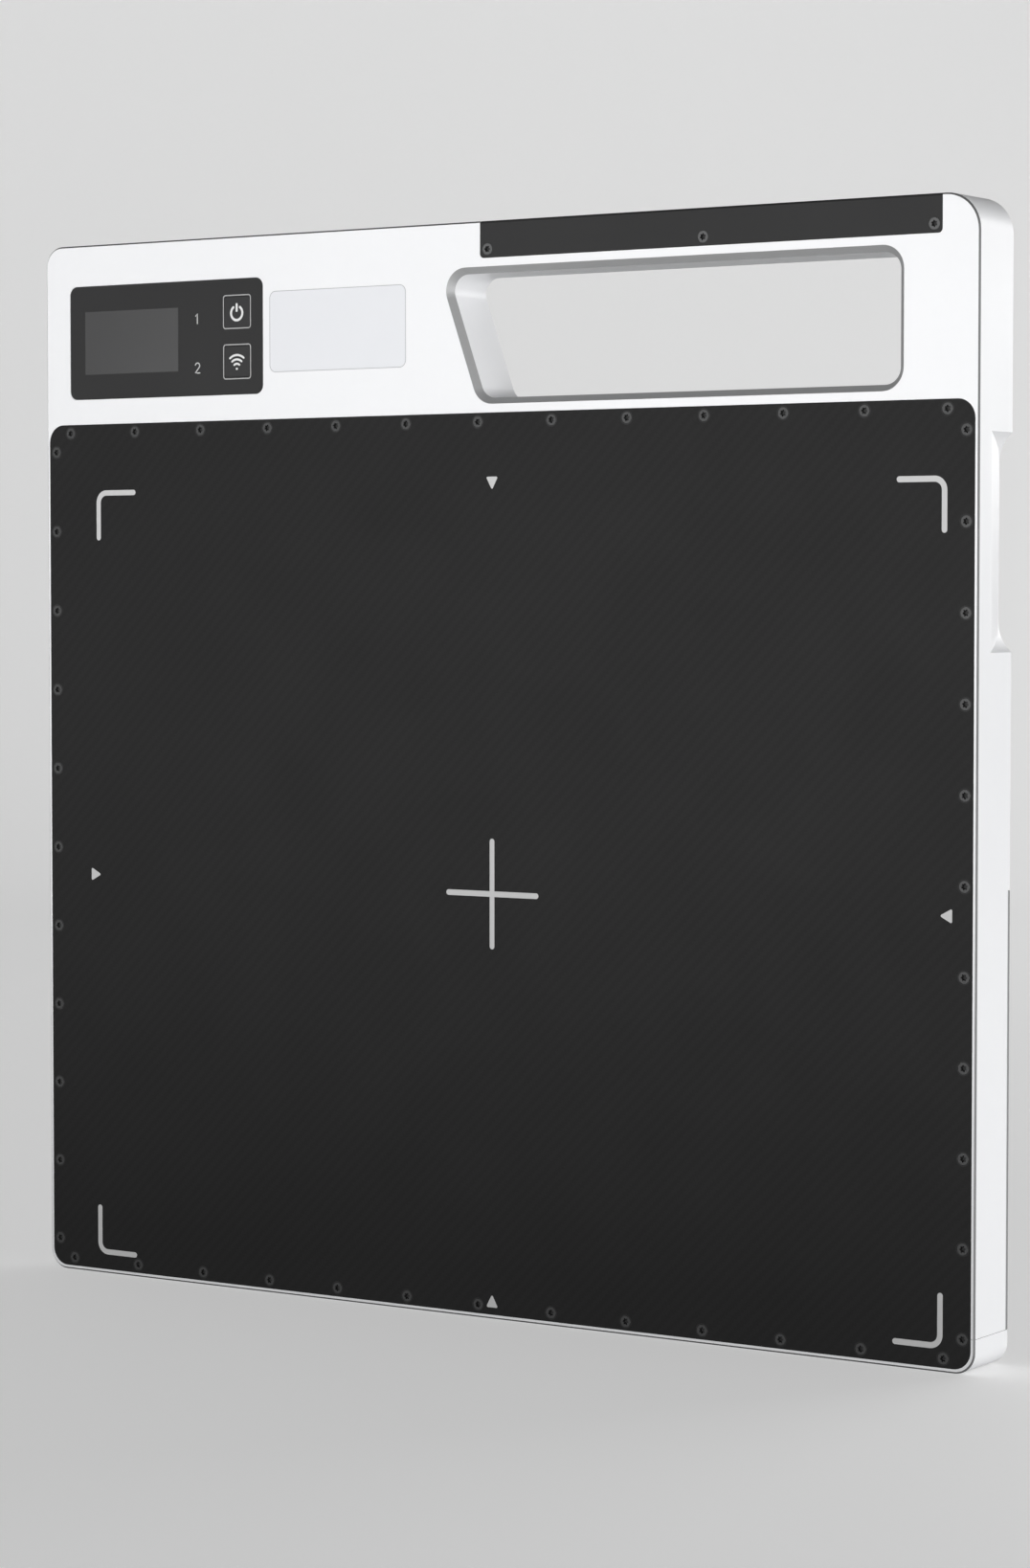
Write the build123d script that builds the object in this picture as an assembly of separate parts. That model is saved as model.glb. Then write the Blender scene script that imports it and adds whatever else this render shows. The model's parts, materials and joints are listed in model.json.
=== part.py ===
from build123d import *
from math import atan2, cos, degrees, pi, radians, sqrt, tan
import os

# Wireless x-ray flat panel detector for 35 x 43 cm images, standing on its bottom edge.
# +Z is up, the x-ray window faces -Y, and the origin is the middle of the bottom edge.
# Depths are measured backwards from the front face, and all sizes are in millimetres.

# Outer body
WIDTH = 471.0
HEIGHT = 463.2
DEPTH = 29.0
CORNER_RADIUS = 9.0
HANDLE_CORNER_RADIUS = 15.0  # the top corner beside the hand hole is rounder
FRONT_BEVEL = 0.7
REAR_BEVEL = 0.5
STRIP_HEIGHT = 80.1  # from the top edge down to the front plate

# Walls of the housing
SIDE_WALL = 5.0
BOTTOM_WALL = 4.0
REAR_SKIN = 2.5
LEDGE_WIDTH = 13.5  # carries the front plate and its screws at the sides and the top
LEDGE_BOTTOM = 10.0  # top of the narrower ledge along the bottom
LEDGE_THICKNESS = 5.0
CAVITY_RADIUS = 4.0
NECK_RADIUS = 0.8

# Front plate and its seal
PLATE_THICKNESS = 2.0
PLATE_MARGIN = 1.7
PLATE_RADIUS = 7.8
SEAL_WIDTH = 1.4
SEAL_THICKNESS = 0.6
SEAL_CORNER = 2.5

# Countersunk screws
SCREW_SIDES = 6  # the many small screws and their holes have flat facets, to stay light
HEAD_RADIUS = 2.7
SHANK_RADIUS = 1.5
HEAD_DEPTH = 2.0
SCREW_CLEARANCE = 0.05
HOLE_EXTRA_DEPTH = 0.25
SCREW_EDGE = 3.8  # from the edge of a plate or cover to its screws
CORNER_SPACE = 12.2  # from a plate corner along the edge to the first screw
PLATE_SCREW_ACROSS_COUNT = 13
PLATE_SCREW_UP_COUNT = 11
PLATE_SCREW_LENGTH = 6.2

# Image panel, from front to back
BORDER_LEFT = 29.2  # body edge to image area
BORDER_RIGHT = 14.8
BORDER_TOP = 30.8  # front plate's top edge to image area
PANEL_GAP = 0.3
FOAM_THICKNESS = 1.0
SCINTILLATOR_THICKNESS = 0.6
GLASS_THICKNESS = 0.7
LEAD_THICKNESS = 0.5
SUPPORT_THICKNESS = 3.0
BOND_MARGIN = 5.7  # bare glass edge that the flex circuits are bonded to
SUPPORT_OVERHANG = 1.0

# Posts and the cross rib that carry the support plate
POST_WIDTH = 12.0
POST_REACH = 8.0  # how far a post runs behind the support plate
RIB_WIDTH = 8.0
SUPPORT_SCREW_LENGTH = 8.0

# Bottom rail
SEAM_HEIGHT = 14.2
SEAM_GAP = 0.15
RAIL_STEP = 0.6  # the rail is this much thinner at the back
SILL_HEIGHT = 8.0
RAIL_SCREW_COUNT = 4
RAIL_SCREW_EDGE = 35.0
RAIL_SCREW_LENGTH = 19.0
RAIL_POST = 9.0

# Rear plate
REAR_PLATE_HEIGHT = 175.1
REAR_PLATE_THICKNESS = 2.2
REAR_LAND = 2.5  # thickness of the frame's land under the plate
REAR_LAND_WIDTH = 17.0
REAR_PLATE_GAP = 0.2
REAR_SCREW_EDGE = 6.0
REAR_SCREW_LENGTH = 4.4
REAR_SCREW_ACROSS_COUNT = 4
REAR_SCREW_UP_COUNT = 3

# Hand hole and handle cover
BAR_HEIGHT = 21.7
HOLE_RIGHT_WALL = 36.0
HOLE_WIDTH = 215.7  # along its top edge
HOLE_HEIGHT = 52.1
HOLE_LEAN = 19.5  # degrees of the slanted end from vertical
HOLE_RADIUS = 6.9
HOLE_BEVEL = 2.7
COVER_RIGHT_EDGE = 16.4
COVER_LENGTH = 217.9
COVER_HEIGHT = 15.5
COVER_WALL = 1.6
COVER_RADIUS = 1.9
COVER_GAP = 0.1
COVER_SCREW_COUNT = 3
COVER_SCREW_EDGE = 3.7
COVER_SCREW_LENGTH = 6.0

# Finger scoops on the rear edges of both sides
SCOOP_LOW = 283.9
SCOOP_HIGH = 370.6
SCOOP_START = 10.3  # depth where the slope begins
SCOOP_DEPTH = 5.9
SCOOP_END_RADIUS = 14.0
SCOOP_BACKING = 7.5

# Control panel
BEZEL_LEFT_EDGE = 13.9
BEZEL_TOP_EDGE = 18.3
BEZEL_WIDTH = 108.7
BEZEL_HEIGHT = 50.7
BEZEL_RADIUS = 4.0
BEZEL_THICKNESS = 2.0
BEZEL_GAP = 0.15
BEZEL_SINK = 0.15
POCKET_LIP = 3.5
POCKET_DEPTH = 10.0
POCKET_FLOOR = 2.0
WINDOW_LEFT = 8.6  # bezel edge to display window
WINDOW_TOP = 11.5
WINDOW_WIDTH = 53.0
WINDOW_HEIGHT = 28.0
WINDOW_THICKNESS = 1.5
KEY_WIDTH = 13.6
KEY_HEIGHT = 13.3
KEY_RADIUS = 1.0
KEY_CLEARANCE = 0.2
KEY_RIGHT = 14.3  # bezel edge to the middle of both keys
POWER_KEY_TOP = 14.6  # bezel edge to the middle of the power key
KEY_PITCH = 21.6
KEY_TRAVEL = 0.6
FLANGE_WIDTH = 1.2
FLANGE_THICKNESS = 0.8
FLANGE_GAP = 0.1
BOARD_THICKNESS = 1.6
SWITCH_SIZE = 6.0
SWITCH_HEIGHT = 2.4
PLUNGER_RADIUS = 1.5
PLUNGER_HEIGHT = 1.0
DISPLAY_THICKNESS = 4.0
DISPLAY_RIM = 2.0

# Label plate
LABEL_GAP_LEFT = 3.7  # from the bezel to the label
LABEL_TOP_EDGE = 24.8
LABEL_WIDTH = 72.2
LABEL_HEIGHT = 34.9
LABEL_RADIUS = 3.0
LABEL_THICKNESS = 0.4

# Hollow behind the control strip
HOLLOW_LEFT_WALL = 6.5
HOLLOW_TOP_WALL = 7.2
HOLLOW_RIGHT_WALL = 11.0
HOLLOW_REAR_WALL = 3.5
CABLE_SLOT_WIDTH = 16.0
CABLE_SLOT_HEIGHT = 8.0

# Battery bay, battery and latches
BAY_WIDTH = 190.0
BAY_HEIGHT = 120.0
BAY_ABOVE_PLATE = 30.5
BAY_DEPTH = 13.0
BAY_WALL = 2.5
BAY_FLOOR = 2.0
BAY_RADIUS = 4.0
BATTERY_GAP = 0.4
BATTERY_SINK = 0.2
BATTERY_BASE = 1.5
BATTERY_WALL = 2.1
BATTERY_LEDGE_WIDTH = 6.6
BATTERY_LEDGE_STEP = 2.4
CELL_COUNT = 3
CELL_GAP = 1.0
CELL_CLEARANCE = 0.3
GRIP_WIDTH = 50.0
GRIP_HEIGHT = 14.0
GRIP_DEPTH = 6.0
GRIP_RADIUS = 5.0
LATCH_LENGTH = 20.0
LATCH_WIDTH = 18.0
LATCH_FLANGE = 3.0
LATCH_FLANGE_THICKNESS = 2.0
LATCH_CLEARANCE = 0.3
LATCH_TRAVEL = 4.0
TONGUE_LENGTH = 3.5
TONGUE_WIDTH = 12.0
LATCH_RIB_COUNT = 5
LATCH_RIB_DEPTH = 0.6
LATCH_BLOCK_WALL = 4.0
CONTACT_COUNT = 6
CONTACT_PITCH = 6.0
CONTACT_RADIUS = 0.8
CONTACT_BLOCK_HEIGHT = 9.6
CONTACT_BLOCK_UP = 6.0
CONTACT_BLOCK_RIGHT = 68.0
CONTACT_BLOCK_THICKNESS = 4.0
CONTACT_GAP = 0.3

# Boards behind the support plate
SPACER_HEIGHT = 2.0
SPACER_RADIUS = 2.5
SPACER_INSET = 6.0
BOARD_EDGE = 10.0  # from the support plate's lower edge to the boards
GATE_BOARD_WIDTH = 20.0
READOUT_BOARD_HEIGHT = 32.0
BOARD_SPACE = 7.0
POWER_BOARD_WIDTH = 112.0
CHIP_HEIGHT = 2.0
CHIP_SIZE = 12.0
SHIELD_WIDTH = 70.0
SHIELD_HEIGHT = 50.0
SHIELD_DEPTH = 5.0
SHIELD_WALL = 0.5

# Flex circuits, ribbons and leads
FLEX_THICKNESS = 0.3
FLEX_BEND = 3.0
FLEX_REACH = 5.5  # how far a flex circuit stands out beyond the glass
FLEX_BOND = 8.0
GATE_FLEX_COUNT = 6
GATE_FLEX_WIDTH = 30.0
READOUT_FLEX_COUNT = 10
READOUT_FLEX_WIDTH = 24.0
RIBBON_WIDTH = 12.0
CABLE_ARCH = 2.2
ANTENNA_LENGTH = 88.0
ANTENNA_WIDTH = 14.0
ANTENNA_THICKNESS = 1.2
ANTENNA_POCKET_DEPTH = 10.0
ANTENNA_POCKET_WALL = 5.0
ANTENNA_END = 4.0
LEAD_RADIUS = 0.7
LEAD_SIDES = 4
LEAD_BORE = 2.2
LEAD_BEND = 6.0
LEAD_SPACING = 1.8
LEAD_CLEARANCE = 0.2

# Places worked out from the sizes above
HALF = WIDTH / 2
FRONT = -DEPTH / 2
PLATE_TOP = HEIGHT - STRIP_HEIGHT
PLATE_HALF = HALF - PLATE_MARGIN
NECK_HALF = HALF - LEDGE_WIDTH
NECK_TOP = PLATE_TOP - LEDGE_WIDTH + PLATE_MARGIN
LEDGE_BACK = PLATE_THICKNESS + LEDGE_THICKNESS
ROOM_HALF = HALF - SIDE_WALL
LAND_FRONT = DEPTH - REAR_PLATE_THICKNESS - REAR_LAND
SKIN_FRONT = DEPTH - REAR_SKIN
REAR_PLATE_LOW = SEAM_HEIGHT + REAR_PLATE_GAP
REAR_PLATE_TOP = REAR_PLATE_LOW + REAR_PLATE_HEIGHT

IMAGE_LEFT = -HALF + BORDER_LEFT
IMAGE_RIGHT = HALF - BORDER_RIGHT
IMAGE_LOW = LEDGE_BOTTOM + PANEL_GAP
IMAGE_TOP = PLATE_TOP - BORDER_TOP
FOAM_BACK = PLATE_THICKNESS + FOAM_THICKNESS
SCINTILLATOR_BACK = FOAM_BACK + SCINTILLATOR_THICKNESS
GLASS_BACK = SCINTILLATOR_BACK + GLASS_THICKNESS
LEAD_BACK = GLASS_BACK + LEAD_THICKNESS
SUPPORT_BACK = LEAD_BACK + SUPPORT_THICKNESS
GLASS_LEFT = IMAGE_LEFT - BOND_MARGIN
GLASS_TOP = IMAGE_TOP + BOND_MARGIN
SUPPORT_LEFT = GLASS_LEFT - SUPPORT_OVERHANG
SUPPORT_TOP = GLASS_TOP + SUPPORT_OVERHANG
BOARD_FRONT = SUPPORT_BACK + SPACER_HEIGHT
BOARD_BACK = BOARD_FRONT + BOARD_THICKNESS
RIB_LOW = REAR_PLATE_TOP - RIB_WIDTH / 2
RIB_HIGH = RIB_LOW + RIB_WIDTH

BEZEL_X0 = -HALF + BEZEL_LEFT_EDGE
BEZEL_X1 = BEZEL_X0 + BEZEL_WIDTH
BEZEL_Z1 = HEIGHT - BEZEL_TOP_EDGE
BEZEL_Z0 = BEZEL_Z1 - BEZEL_HEIGHT
BEZEL_BACK = BEZEL_SINK + BEZEL_THICKNESS
POCKET_BACK = BEZEL_BACK + POCKET_DEPTH
HOLLOW_FRONT = POCKET_BACK + POCKET_FLOOR
HOLLOW_BACK = DEPTH - HOLLOW_REAR_WALL
HOLLOW_TOP = HEIGHT - HOLLOW_TOP_WALL
KEY_X = BEZEL_X1 - KEY_RIGHT
POWER_KEY_Z = BEZEL_Z1 - POWER_KEY_TOP
WIRELESS_KEY_Z = POWER_KEY_Z - KEY_PITCH
KEY_BACK = BEZEL_BACK + FLANGE_GAP + FLANGE_THICKNESS
SWITCH_TOP = KEY_BACK + KEY_TRAVEL + FLANGE_GAP
KEY_BOARD_FRONT = SWITCH_TOP + PLUNGER_HEIGHT + SWITCH_HEIGHT
SLOT_Z = BEZEL_Z0 + POCKET_LIP + CABLE_SLOT_HEIGHT
RIBBON_X = KEY_X - KEY_WIDTH / 2 - FLANGE_WIDTH - RIBBON_WIDTH

HOLE_TOP = HEIGHT - BAR_HEIGHT
HOLE_BOTTOM = HOLE_TOP - HOLE_HEIGHT
HOLE_RIGHT = HALF - HOLE_RIGHT_WALL
HOLE_LEFT = HOLE_RIGHT - HOLE_WIDTH
HOLLOW_RIGHT = HOLE_LEFT - HOLLOW_RIGHT_WALL
COVER_X1 = HALF - COVER_RIGHT_EDGE
COVER_X0 = COVER_X1 - COVER_LENGTH
COVER_LOW = HEIGHT - COVER_HEIGHT
CORE_TOP = HEIGHT - COVER_WALL
ANTENNA_FLOOR = CORE_TOP - ANTENNA_POCKET_DEPTH
ANTENNA_POCKET_X0 = COVER_X0 + ANTENNA_POCKET_WALL
ANTENNA_POCKET_X1 = COVER_X1 - ANTENNA_POCKET_WALL

BAY_LOW = REAR_PLATE_TOP + BAY_ABOVE_PLATE
BAY_HIGH = BAY_LOW + BAY_HEIGHT
BAY_HALF = BAY_WIDTH / 2
BAY_BOTTOM = DEPTH - BAY_DEPTH
BATTERY_BACK = DEPTH - BATTERY_SINK
BATTERY_FRONT = BAY_BOTTOM + BATTERY_GAP
BATTERY_HALF = BAY_HALF - BATTERY_GAP
LEDGE_LEVEL = BATTERY_BACK - BATTERY_LEDGE_STEP
LATCH_Z = (BAY_LOW + BAY_HIGH) / 2
TONGUE_FRONT = LEDGE_LEVEL + LATCH_CLEARANCE
LATCH_FRONT = LEDGE_LEVEL - LATCH_FLANGE_THICKNESS
LATCH_X0 = BAY_HALF + LATCH_TRAVEL + LATCH_CLEARANCE
LATCH_X1 = LATCH_X0 + LATCH_LENGTH
CONTACT_Z = BAY_LOW + CONTACT_BLOCK_UP + CONTACT_BLOCK_HEIGHT / 2
CONTACT_BLOCK_WIDTH = CONTACT_COUNT * CONTACT_PITCH + CONTACT_BLOCK_HEIGHT

MAIN_BOARD_LOW = IMAGE_LOW + BOARD_EDGE + SEAM_HEIGHT
MAIN_BOARD_TOP = RIB_LOW - BOARD_SPACE
GATE_BOARD_X0 = SUPPORT_LEFT + POST_REACH + PANEL_GAP
GATE_BOARD_X1 = GATE_BOARD_X0 + GATE_BOARD_WIDTH
GATE_BOARD_LOW = SEAM_HEIGHT + SILL_HEIGHT + PANEL_GAP
POWER_BOARD_X1 = NECK_HALF - POST_REACH - PANEL_GAP
POWER_BOARD_X0 = POWER_BOARD_X1 - POWER_BOARD_WIDTH
MAIN_BOARD_X0 = GATE_BOARD_X1 + BOARD_SPACE
MAIN_BOARD_X1 = POWER_BOARD_X0 - BOARD_SPACE
READOUT_BOARD_TOP = SUPPORT_TOP - POST_REACH - PANEL_GAP
READOUT_BOARD_LOW = READOUT_BOARD_TOP - READOUT_BOARD_HEIGHT
READOUT_BOARD_X0 = GATE_BOARD_X1 + BOARD_SPACE / 2
READOUT_BOARD_X1 = POWER_BOARD_X1
SHIELD_Z0 = MAIN_BOARD_LOW + BOARD_SPACE


def slab(x0, x1, z0, z1, front, back, radius=0.0):
    """A flat piece between two depths, with rounded corners seen from the front."""
    width, height = x1 - x0, z1 - z0
    outline = RectangleRounded(width, height, radius) if radius else Rectangle(width, height)
    return prism(Pos((x0 + x1) / 2, (z0 + z1) / 2) * outline, front, back)


def prism(outline, front, back):
    """An outline seen from the front, solid between two depths."""
    return extrude(Plane.XZ.offset(-FRONT - back) * outline, amount=back - front)


def ring(x0, x1, z0, z1, width, front, back):
    """A flat frame of even width with its corners cut off, as a seal or its groove."""
    outer = Rectangle(x1 - x0, z1 - z0)
    inner = Rectangle(x1 - x0 - 2 * width, z1 - z0 - 2 * width)
    inner_corner = SEAL_CORNER - width * (2 - sqrt(2))
    outline = chamfer(outer.vertices(), SEAL_CORNER) - chamfer(inner.vertices(), inner_corner)
    return prism(Pos((x0 + x1) / 2, (z0 + z1) / 2) * outline, front, back)


def cut_corners(points, cut):
    """A bent line's points, with each corner cut off by two new ones."""
    path = [Vector(*points[0])]
    for before, corner, after in zip(points, points[1:], points[2:]):
        for end in (before, after):
            path.append(Vector(*corner) + (Vector(*end) - Vector(*corner)).normalized() * cut)
    return path + [Vector(*points[-1])]


def bent_strip(points, thickness, cut, plane, width):
    """A flat circuit or cable that follows a bent line in a plane, with even thickness."""
    path = cut_corners(points, cut)
    ways = [(end - start).normalized() for start, end in zip(path, path[1:])]
    across = [Vector(-way.Y, way.X) for way in ways]
    across = [across[0], *across, across[-1]]
    reaches = [(a + b) * (thickness / 2 / (1 + a.dot(b))) for a, b in zip(across, across[1:])]
    left = [point + reach for point, reach in zip(path, reaches)]
    right = [point - reach for point, reach in zip(path, reaches)]
    outline = plane * Polygon(*left, *reversed(right), align=None)
    return extrude(outline, amount=width, dir=plane.z_dir)


def spread(first, last, count):
    """Evenly spaced places from the first to the last."""
    return [first + (last - first) * i / (count - 1) for i in range(count)]


def between(places, index):
    """Midway between a place and the next one."""
    return (places[index] + places[index + 1]) / 2


def screw(length, clearance=0.0):
    """A countersunk screw along +Z with its head's face at the origin, or its hole."""
    mouth = RegularPolygon(HEAD_RADIUS + clearance, SCREW_SIDES)
    throat = RegularPolygon(SHANK_RADIUS + clearance, SCREW_SIDES)
    narrowing = (HEAD_RADIUS - SHANK_RADIUS) * cos(pi / SCREW_SIDES)
    head = extrude(mouth, amount=HEAD_DEPTH, taper=degrees(atan2(narrowing, HEAD_DEPTH)))
    return head + extrude(Pos(0, 0, HEAD_DEPTH) * throat, amount=length - HEAD_DEPTH)


def screws_at(places, length, direction):
    """The screws of one row of places, and the holes that take them."""
    frames = [Plane(origin=place, x_dir=(1, 0, 0), z_dir=direction).location for place in places]
    one, hole = screw(length), screw(length + HOLE_EXTRA_DEPTH, SCREW_CLEARANCE)
    return [frame * one for frame in frames], [frame * hole for frame in frames]


# Outline of the body, the hand hole and the cuts that shape its sides
def hand_hole_outline():
    """The throat of the hand hole: a rounded shape with one slanted end."""
    foot = HOLE_LEFT + HOLE_HEIGHT * tan(radians(HOLE_LEAN))
    corners = [
        (HOLE_LEFT, HOLE_TOP),
        (HOLE_RIGHT, HOLE_TOP),
        (HOLE_RIGHT, HOLE_BOTTOM),
        (foot, HOLE_BOTTOM),
    ]
    outline = Polygon(*corners, align=None)
    return fillet(outline.vertices(), HOLE_RADIUS)


def scoop_cut():
    """Finger scoop of the right side: a slope towards the back with round ends."""
    rise = sqrt(SCOOP_END_RADIUS**2 - (SCOOP_END_RADIUS - SCOOP_DEPTH) ** 2)
    low = SCOOP_LOW + rise - SCOOP_END_RADIUS
    high = SCOOP_HIGH - rise + SCOOP_END_RADIUS
    floor = HALF - SCOOP_DEPTH
    reach = 2 * SCOOP_END_RADIUS + SCOOP_DEPTH
    across = slab(floor, floor + reach, low, high, SCOOP_START, DEPTH, SCOOP_END_RADIUS)
    back = -FRONT
    wedge = Polygon((HALF, FRONT + SCOOP_START), (HALF + reach, FRONT + SCOOP_START),
                    (HALF + reach, back), (floor, back), align=None)
    return across & extrude(Pos(0, 0, low) * wedge, amount=high - low)


def outer_body():
    """The closed outer form with the hand hole, all bevels and both scoops."""
    outline = Pos(0, HEIGHT / 2) * Rectangle(WIDTH, HEIGHT)
    handle_corner = outline.vertices().sort_by(lambda v: v.X + v.Y)[-1]
    outline = fillet(handle_corner, HANDLE_CORNER_RADIUS)
    sharp = [v for v in outline.vertices() if abs(v.X) > HALF - 1 and not 1 < v.Y < HEIGHT - 1]
    outline = fillet(sharp, CORNER_RADIUS)
    body = prism(outline - hand_hole_outline(), 0, DEPTH)
    for index, bevel in ((0, FRONT_BEVEL), (-1, REAR_BEVEL)):
        body = chamfer(body.faces().sort_by(Axis.Y)[index].outer_wire().edges(), bevel)
    for index in (0, -1):
        hole_edges = body.faces().sort_by(Axis.Y)[index].inner_wires()[0].edges()
        body = chamfer(hole_edges, HOLE_BEVEL)
    scoop = scoop_cut()
    return body - scoop - mirror(scoop, about=Plane.YZ)


BODY = outer_body()

# Places that several pieces share
PLATE_ROWS = spread(-PLATE_HALF + CORNER_SPACE, PLATE_HALF - CORNER_SPACE, PLATE_SCREW_ACROSS_COUNT)
PLATE_COLUMNS = spread(PLATE_MARGIN + CORNER_SPACE, PLATE_TOP - CORNER_SPACE, PLATE_SCREW_UP_COUNT)
GATE_FLEX_Z = spread(IMAGE_LOW + GATE_FLEX_WIDTH, IMAGE_TOP - GATE_FLEX_WIDTH, GATE_FLEX_COUNT)
READOUT_FLEX_X = spread(IMAGE_LEFT + READOUT_FLEX_WIDTH, IMAGE_RIGHT - READOUT_FLEX_WIDTH,
                        READOUT_FLEX_COUNT)
POST_Z = [between(GATE_FLEX_Z, i) for i in range(0, GATE_FLEX_COUNT - 1, 2)]
POST_X = [between(READOUT_FLEX_X, i) for i in range(1, READOUT_FLEX_COUNT - 1, 3)]
REAR_COLUMNS = spread(-HALF + REAR_LAND_WIDTH / 2, HALF - REAR_LAND_WIDTH / 2,
                      REAR_SCREW_ACROSS_COUNT)
REAR_ROWS = spread(REAR_PLATE_LOW + REAR_SCREW_EDGE, REAR_PLATE_TOP - REAR_SCREW_EDGE,
                   REAR_SCREW_UP_COUNT)
RAIL_PLACES = spread(-HALF + RAIL_SCREW_EDGE, HALF - RAIL_SCREW_EDGE, RAIL_SCREW_COUNT)
RIB_LEFT = POST_X[0] - POST_WIDTH / 2
SHIELD_X0 = RIB_LEFT + BOARD_SPACE
SUPPORT_SCREW_INSET = POST_REACH / 2
RAIL_SCREW_DEPTH = (LEDGE_BACK + LAND_FRONT) / 2


def front_plate_places():
    """Middles of all screw heads round the front plate."""
    low, high = PLATE_MARGIN + SCREW_EDGE, PLATE_TOP - SCREW_EDGE
    side = PLATE_HALF - SCREW_EDGE
    rows = [(x, FRONT, z) for z in (low, high) for x in PLATE_ROWS]
    return rows + [(x, FRONT, z) for x in (-side, side) for z in PLATE_COLUMNS]


def rear_plate_places():
    """Middles of the screw heads round the rear plate."""
    rows = [(x, -FRONT, z) for z in (REAR_ROWS[0], REAR_ROWS[-1]) for x in REAR_COLUMNS]
    return rows + [(x, -FRONT, REAR_ROWS[1]) for x in (REAR_COLUMNS[0], REAR_COLUMNS[-1])]


def cover_places():
    """Middles of the screw heads on the handle cover's front."""
    ends = (COVER_X0 + COVER_SCREW_EDGE, COVER_X1 - COVER_SCREW_EDGE)
    return [(x, FRONT, COVER_LOW + COVER_SCREW_EDGE) for x in spread(*ends, COVER_SCREW_COUNT)]


def support_places():
    """Middles of the support plate's screw heads, one on each post."""
    y = FRONT + LEAD_BACK
    sides = (SUPPORT_LEFT + SUPPORT_SCREW_INSET, NECK_HALF - PANEL_GAP - SUPPORT_SCREW_INSET)
    on_sides = [(x, y, z) for x in sides for z in POST_Z]
    return on_sides + [(x, y, SUPPORT_TOP - SUPPORT_SCREW_INSET) for x in POST_X]


PLATE_SCREWS, PLATE_HOLES = screws_at(front_plate_places(), PLATE_SCREW_LENGTH, (0, 1, 0))
REAR_SCREWS, REAR_HOLES = screws_at(rear_plate_places(), REAR_SCREW_LENGTH, (0, -1, 0))
COVER_SCREW_SET, COVER_HOLES = screws_at(cover_places(), COVER_SCREW_LENGTH, (0, 1, 0))
SUPPORT_SCREWS, SUPPORT_HOLES = screws_at(support_places(), SUPPORT_SCREW_LENGTH, (0, 1, 0))
RAIL_SCREW_SET, RAIL_HOLES = screws_at(
    [(x, FRONT + RAIL_SCREW_DEPTH, 0) for x in RAIL_PLACES], RAIL_SCREW_LENGTH, (0, 0, 1))


def cover_zone():
    """Outer form of the handle cover, square at the top and round at its lower corners."""
    reach = COVER_HEIGHT + COVER_RADIUS
    return BODY & slab(COVER_X0, COVER_X1, COVER_LOW, COVER_LOW + reach, 0, DEPTH, COVER_RADIUS)


def bar_core(gap=0.0):
    """The part of the handle bar that the cover wraps."""
    wall = COVER_WALL - gap
    return slab(COVER_X0, COVER_X1, COVER_LOW, HEIGHT - wall, wall, DEPTH - wall)


def posts():
    """Posts on the walls that carry the support plate."""
    half = POST_WIDTH / 2
    left = [slab(-ROOM_HALF, SUPPORT_LEFT + POST_REACH, z - half, z + half, SUPPORT_BACK,
                 LAND_FRONT) for z in POST_Z]
    right = [slab(NECK_HALF - POST_REACH, ROOM_HALF, z - half, z + half, SUPPORT_BACK,
                  LAND_FRONT) for z in POST_Z]
    top = [slab(x - half, x + half, SUPPORT_TOP - POST_REACH, NECK_TOP, SUPPORT_BACK,
                SKIN_FRONT) for x in POST_X]
    return left + right + top


def scoop_backing():
    """Thicker side walls behind both finger scoops."""
    inner = HALF - SCOOP_DEPTH - SCOOP_BACKING
    low, high = SCOOP_LOW - SCOOP_BACKING, NECK_TOP
    block = slab(inner, ROOM_HALF, low, high, LEDGE_BACK, SKIN_FRONT)
    return [block, mirror(block, about=Plane.YZ)]


def latch_blocks():
    """Solid ground beside the battery bay for the two latch tracks."""
    half = LATCH_WIDTH / 2 + LATCH_FLANGE + LATCH_BLOCK_WALL
    block = slab(BAY_HALF, LATCH_X1 + LATCH_BLOCK_WALL, LATCH_Z - half, LATCH_Z + half,
                 LATCH_FRONT - LATCH_BLOCK_WALL, DEPTH)
    return [block, mirror(block, about=Plane.YZ)]


def latch_tracks():
    """T-shaped tracks that hold the sliding latches and open into the bay."""
    outer = LATCH_X1 + LATCH_CLEARANCE
    inner = BAY_HALF - BATTERY_GAP
    wide = LATCH_WIDTH / 2 + LATCH_FLANGE + LATCH_CLEARANCE
    narrow = LATCH_WIDTH / 2 + LATCH_CLEARANCE
    lower = slab(inner, outer, LATCH_Z - wide, LATCH_Z + wide, LATCH_FRONT - LATCH_CLEARANCE,
                 LEDGE_LEVEL + LATCH_CLEARANCE)
    upper = slab(inner, outer, LATCH_Z - narrow, LATCH_Z + narrow, LEDGE_LEVEL, DEPTH)
    track = lower + upper
    return [track, mirror(track, about=Plane.YZ)]


def rooms():
    """All hollows of the frame that open inwards, as one list of cuts."""
    neck = slab(-NECK_HALF, NECK_HALF, LEDGE_BOTTOM, NECK_TOP, 0, LEDGE_BACK, NECK_RADIUS)
    room = slab(-ROOM_HALF, ROOM_HALF, BOTTOM_WALL, NECK_TOP, LEDGE_BACK, LAND_FRONT)
    upper = slab(-ROOM_HALF, ROOM_HALF, RIB_HIGH, NECK_TOP, LAND_FRONT, SKIN_FRONT)
    hollow = slab(-HALF + HOLLOW_LEFT_WALL, HOLLOW_RIGHT, NECK_TOP, HOLLOW_TOP, HOLLOW_FRONT,
                  HOLLOW_BACK)
    return [neck, room, upper, hollow]


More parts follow.
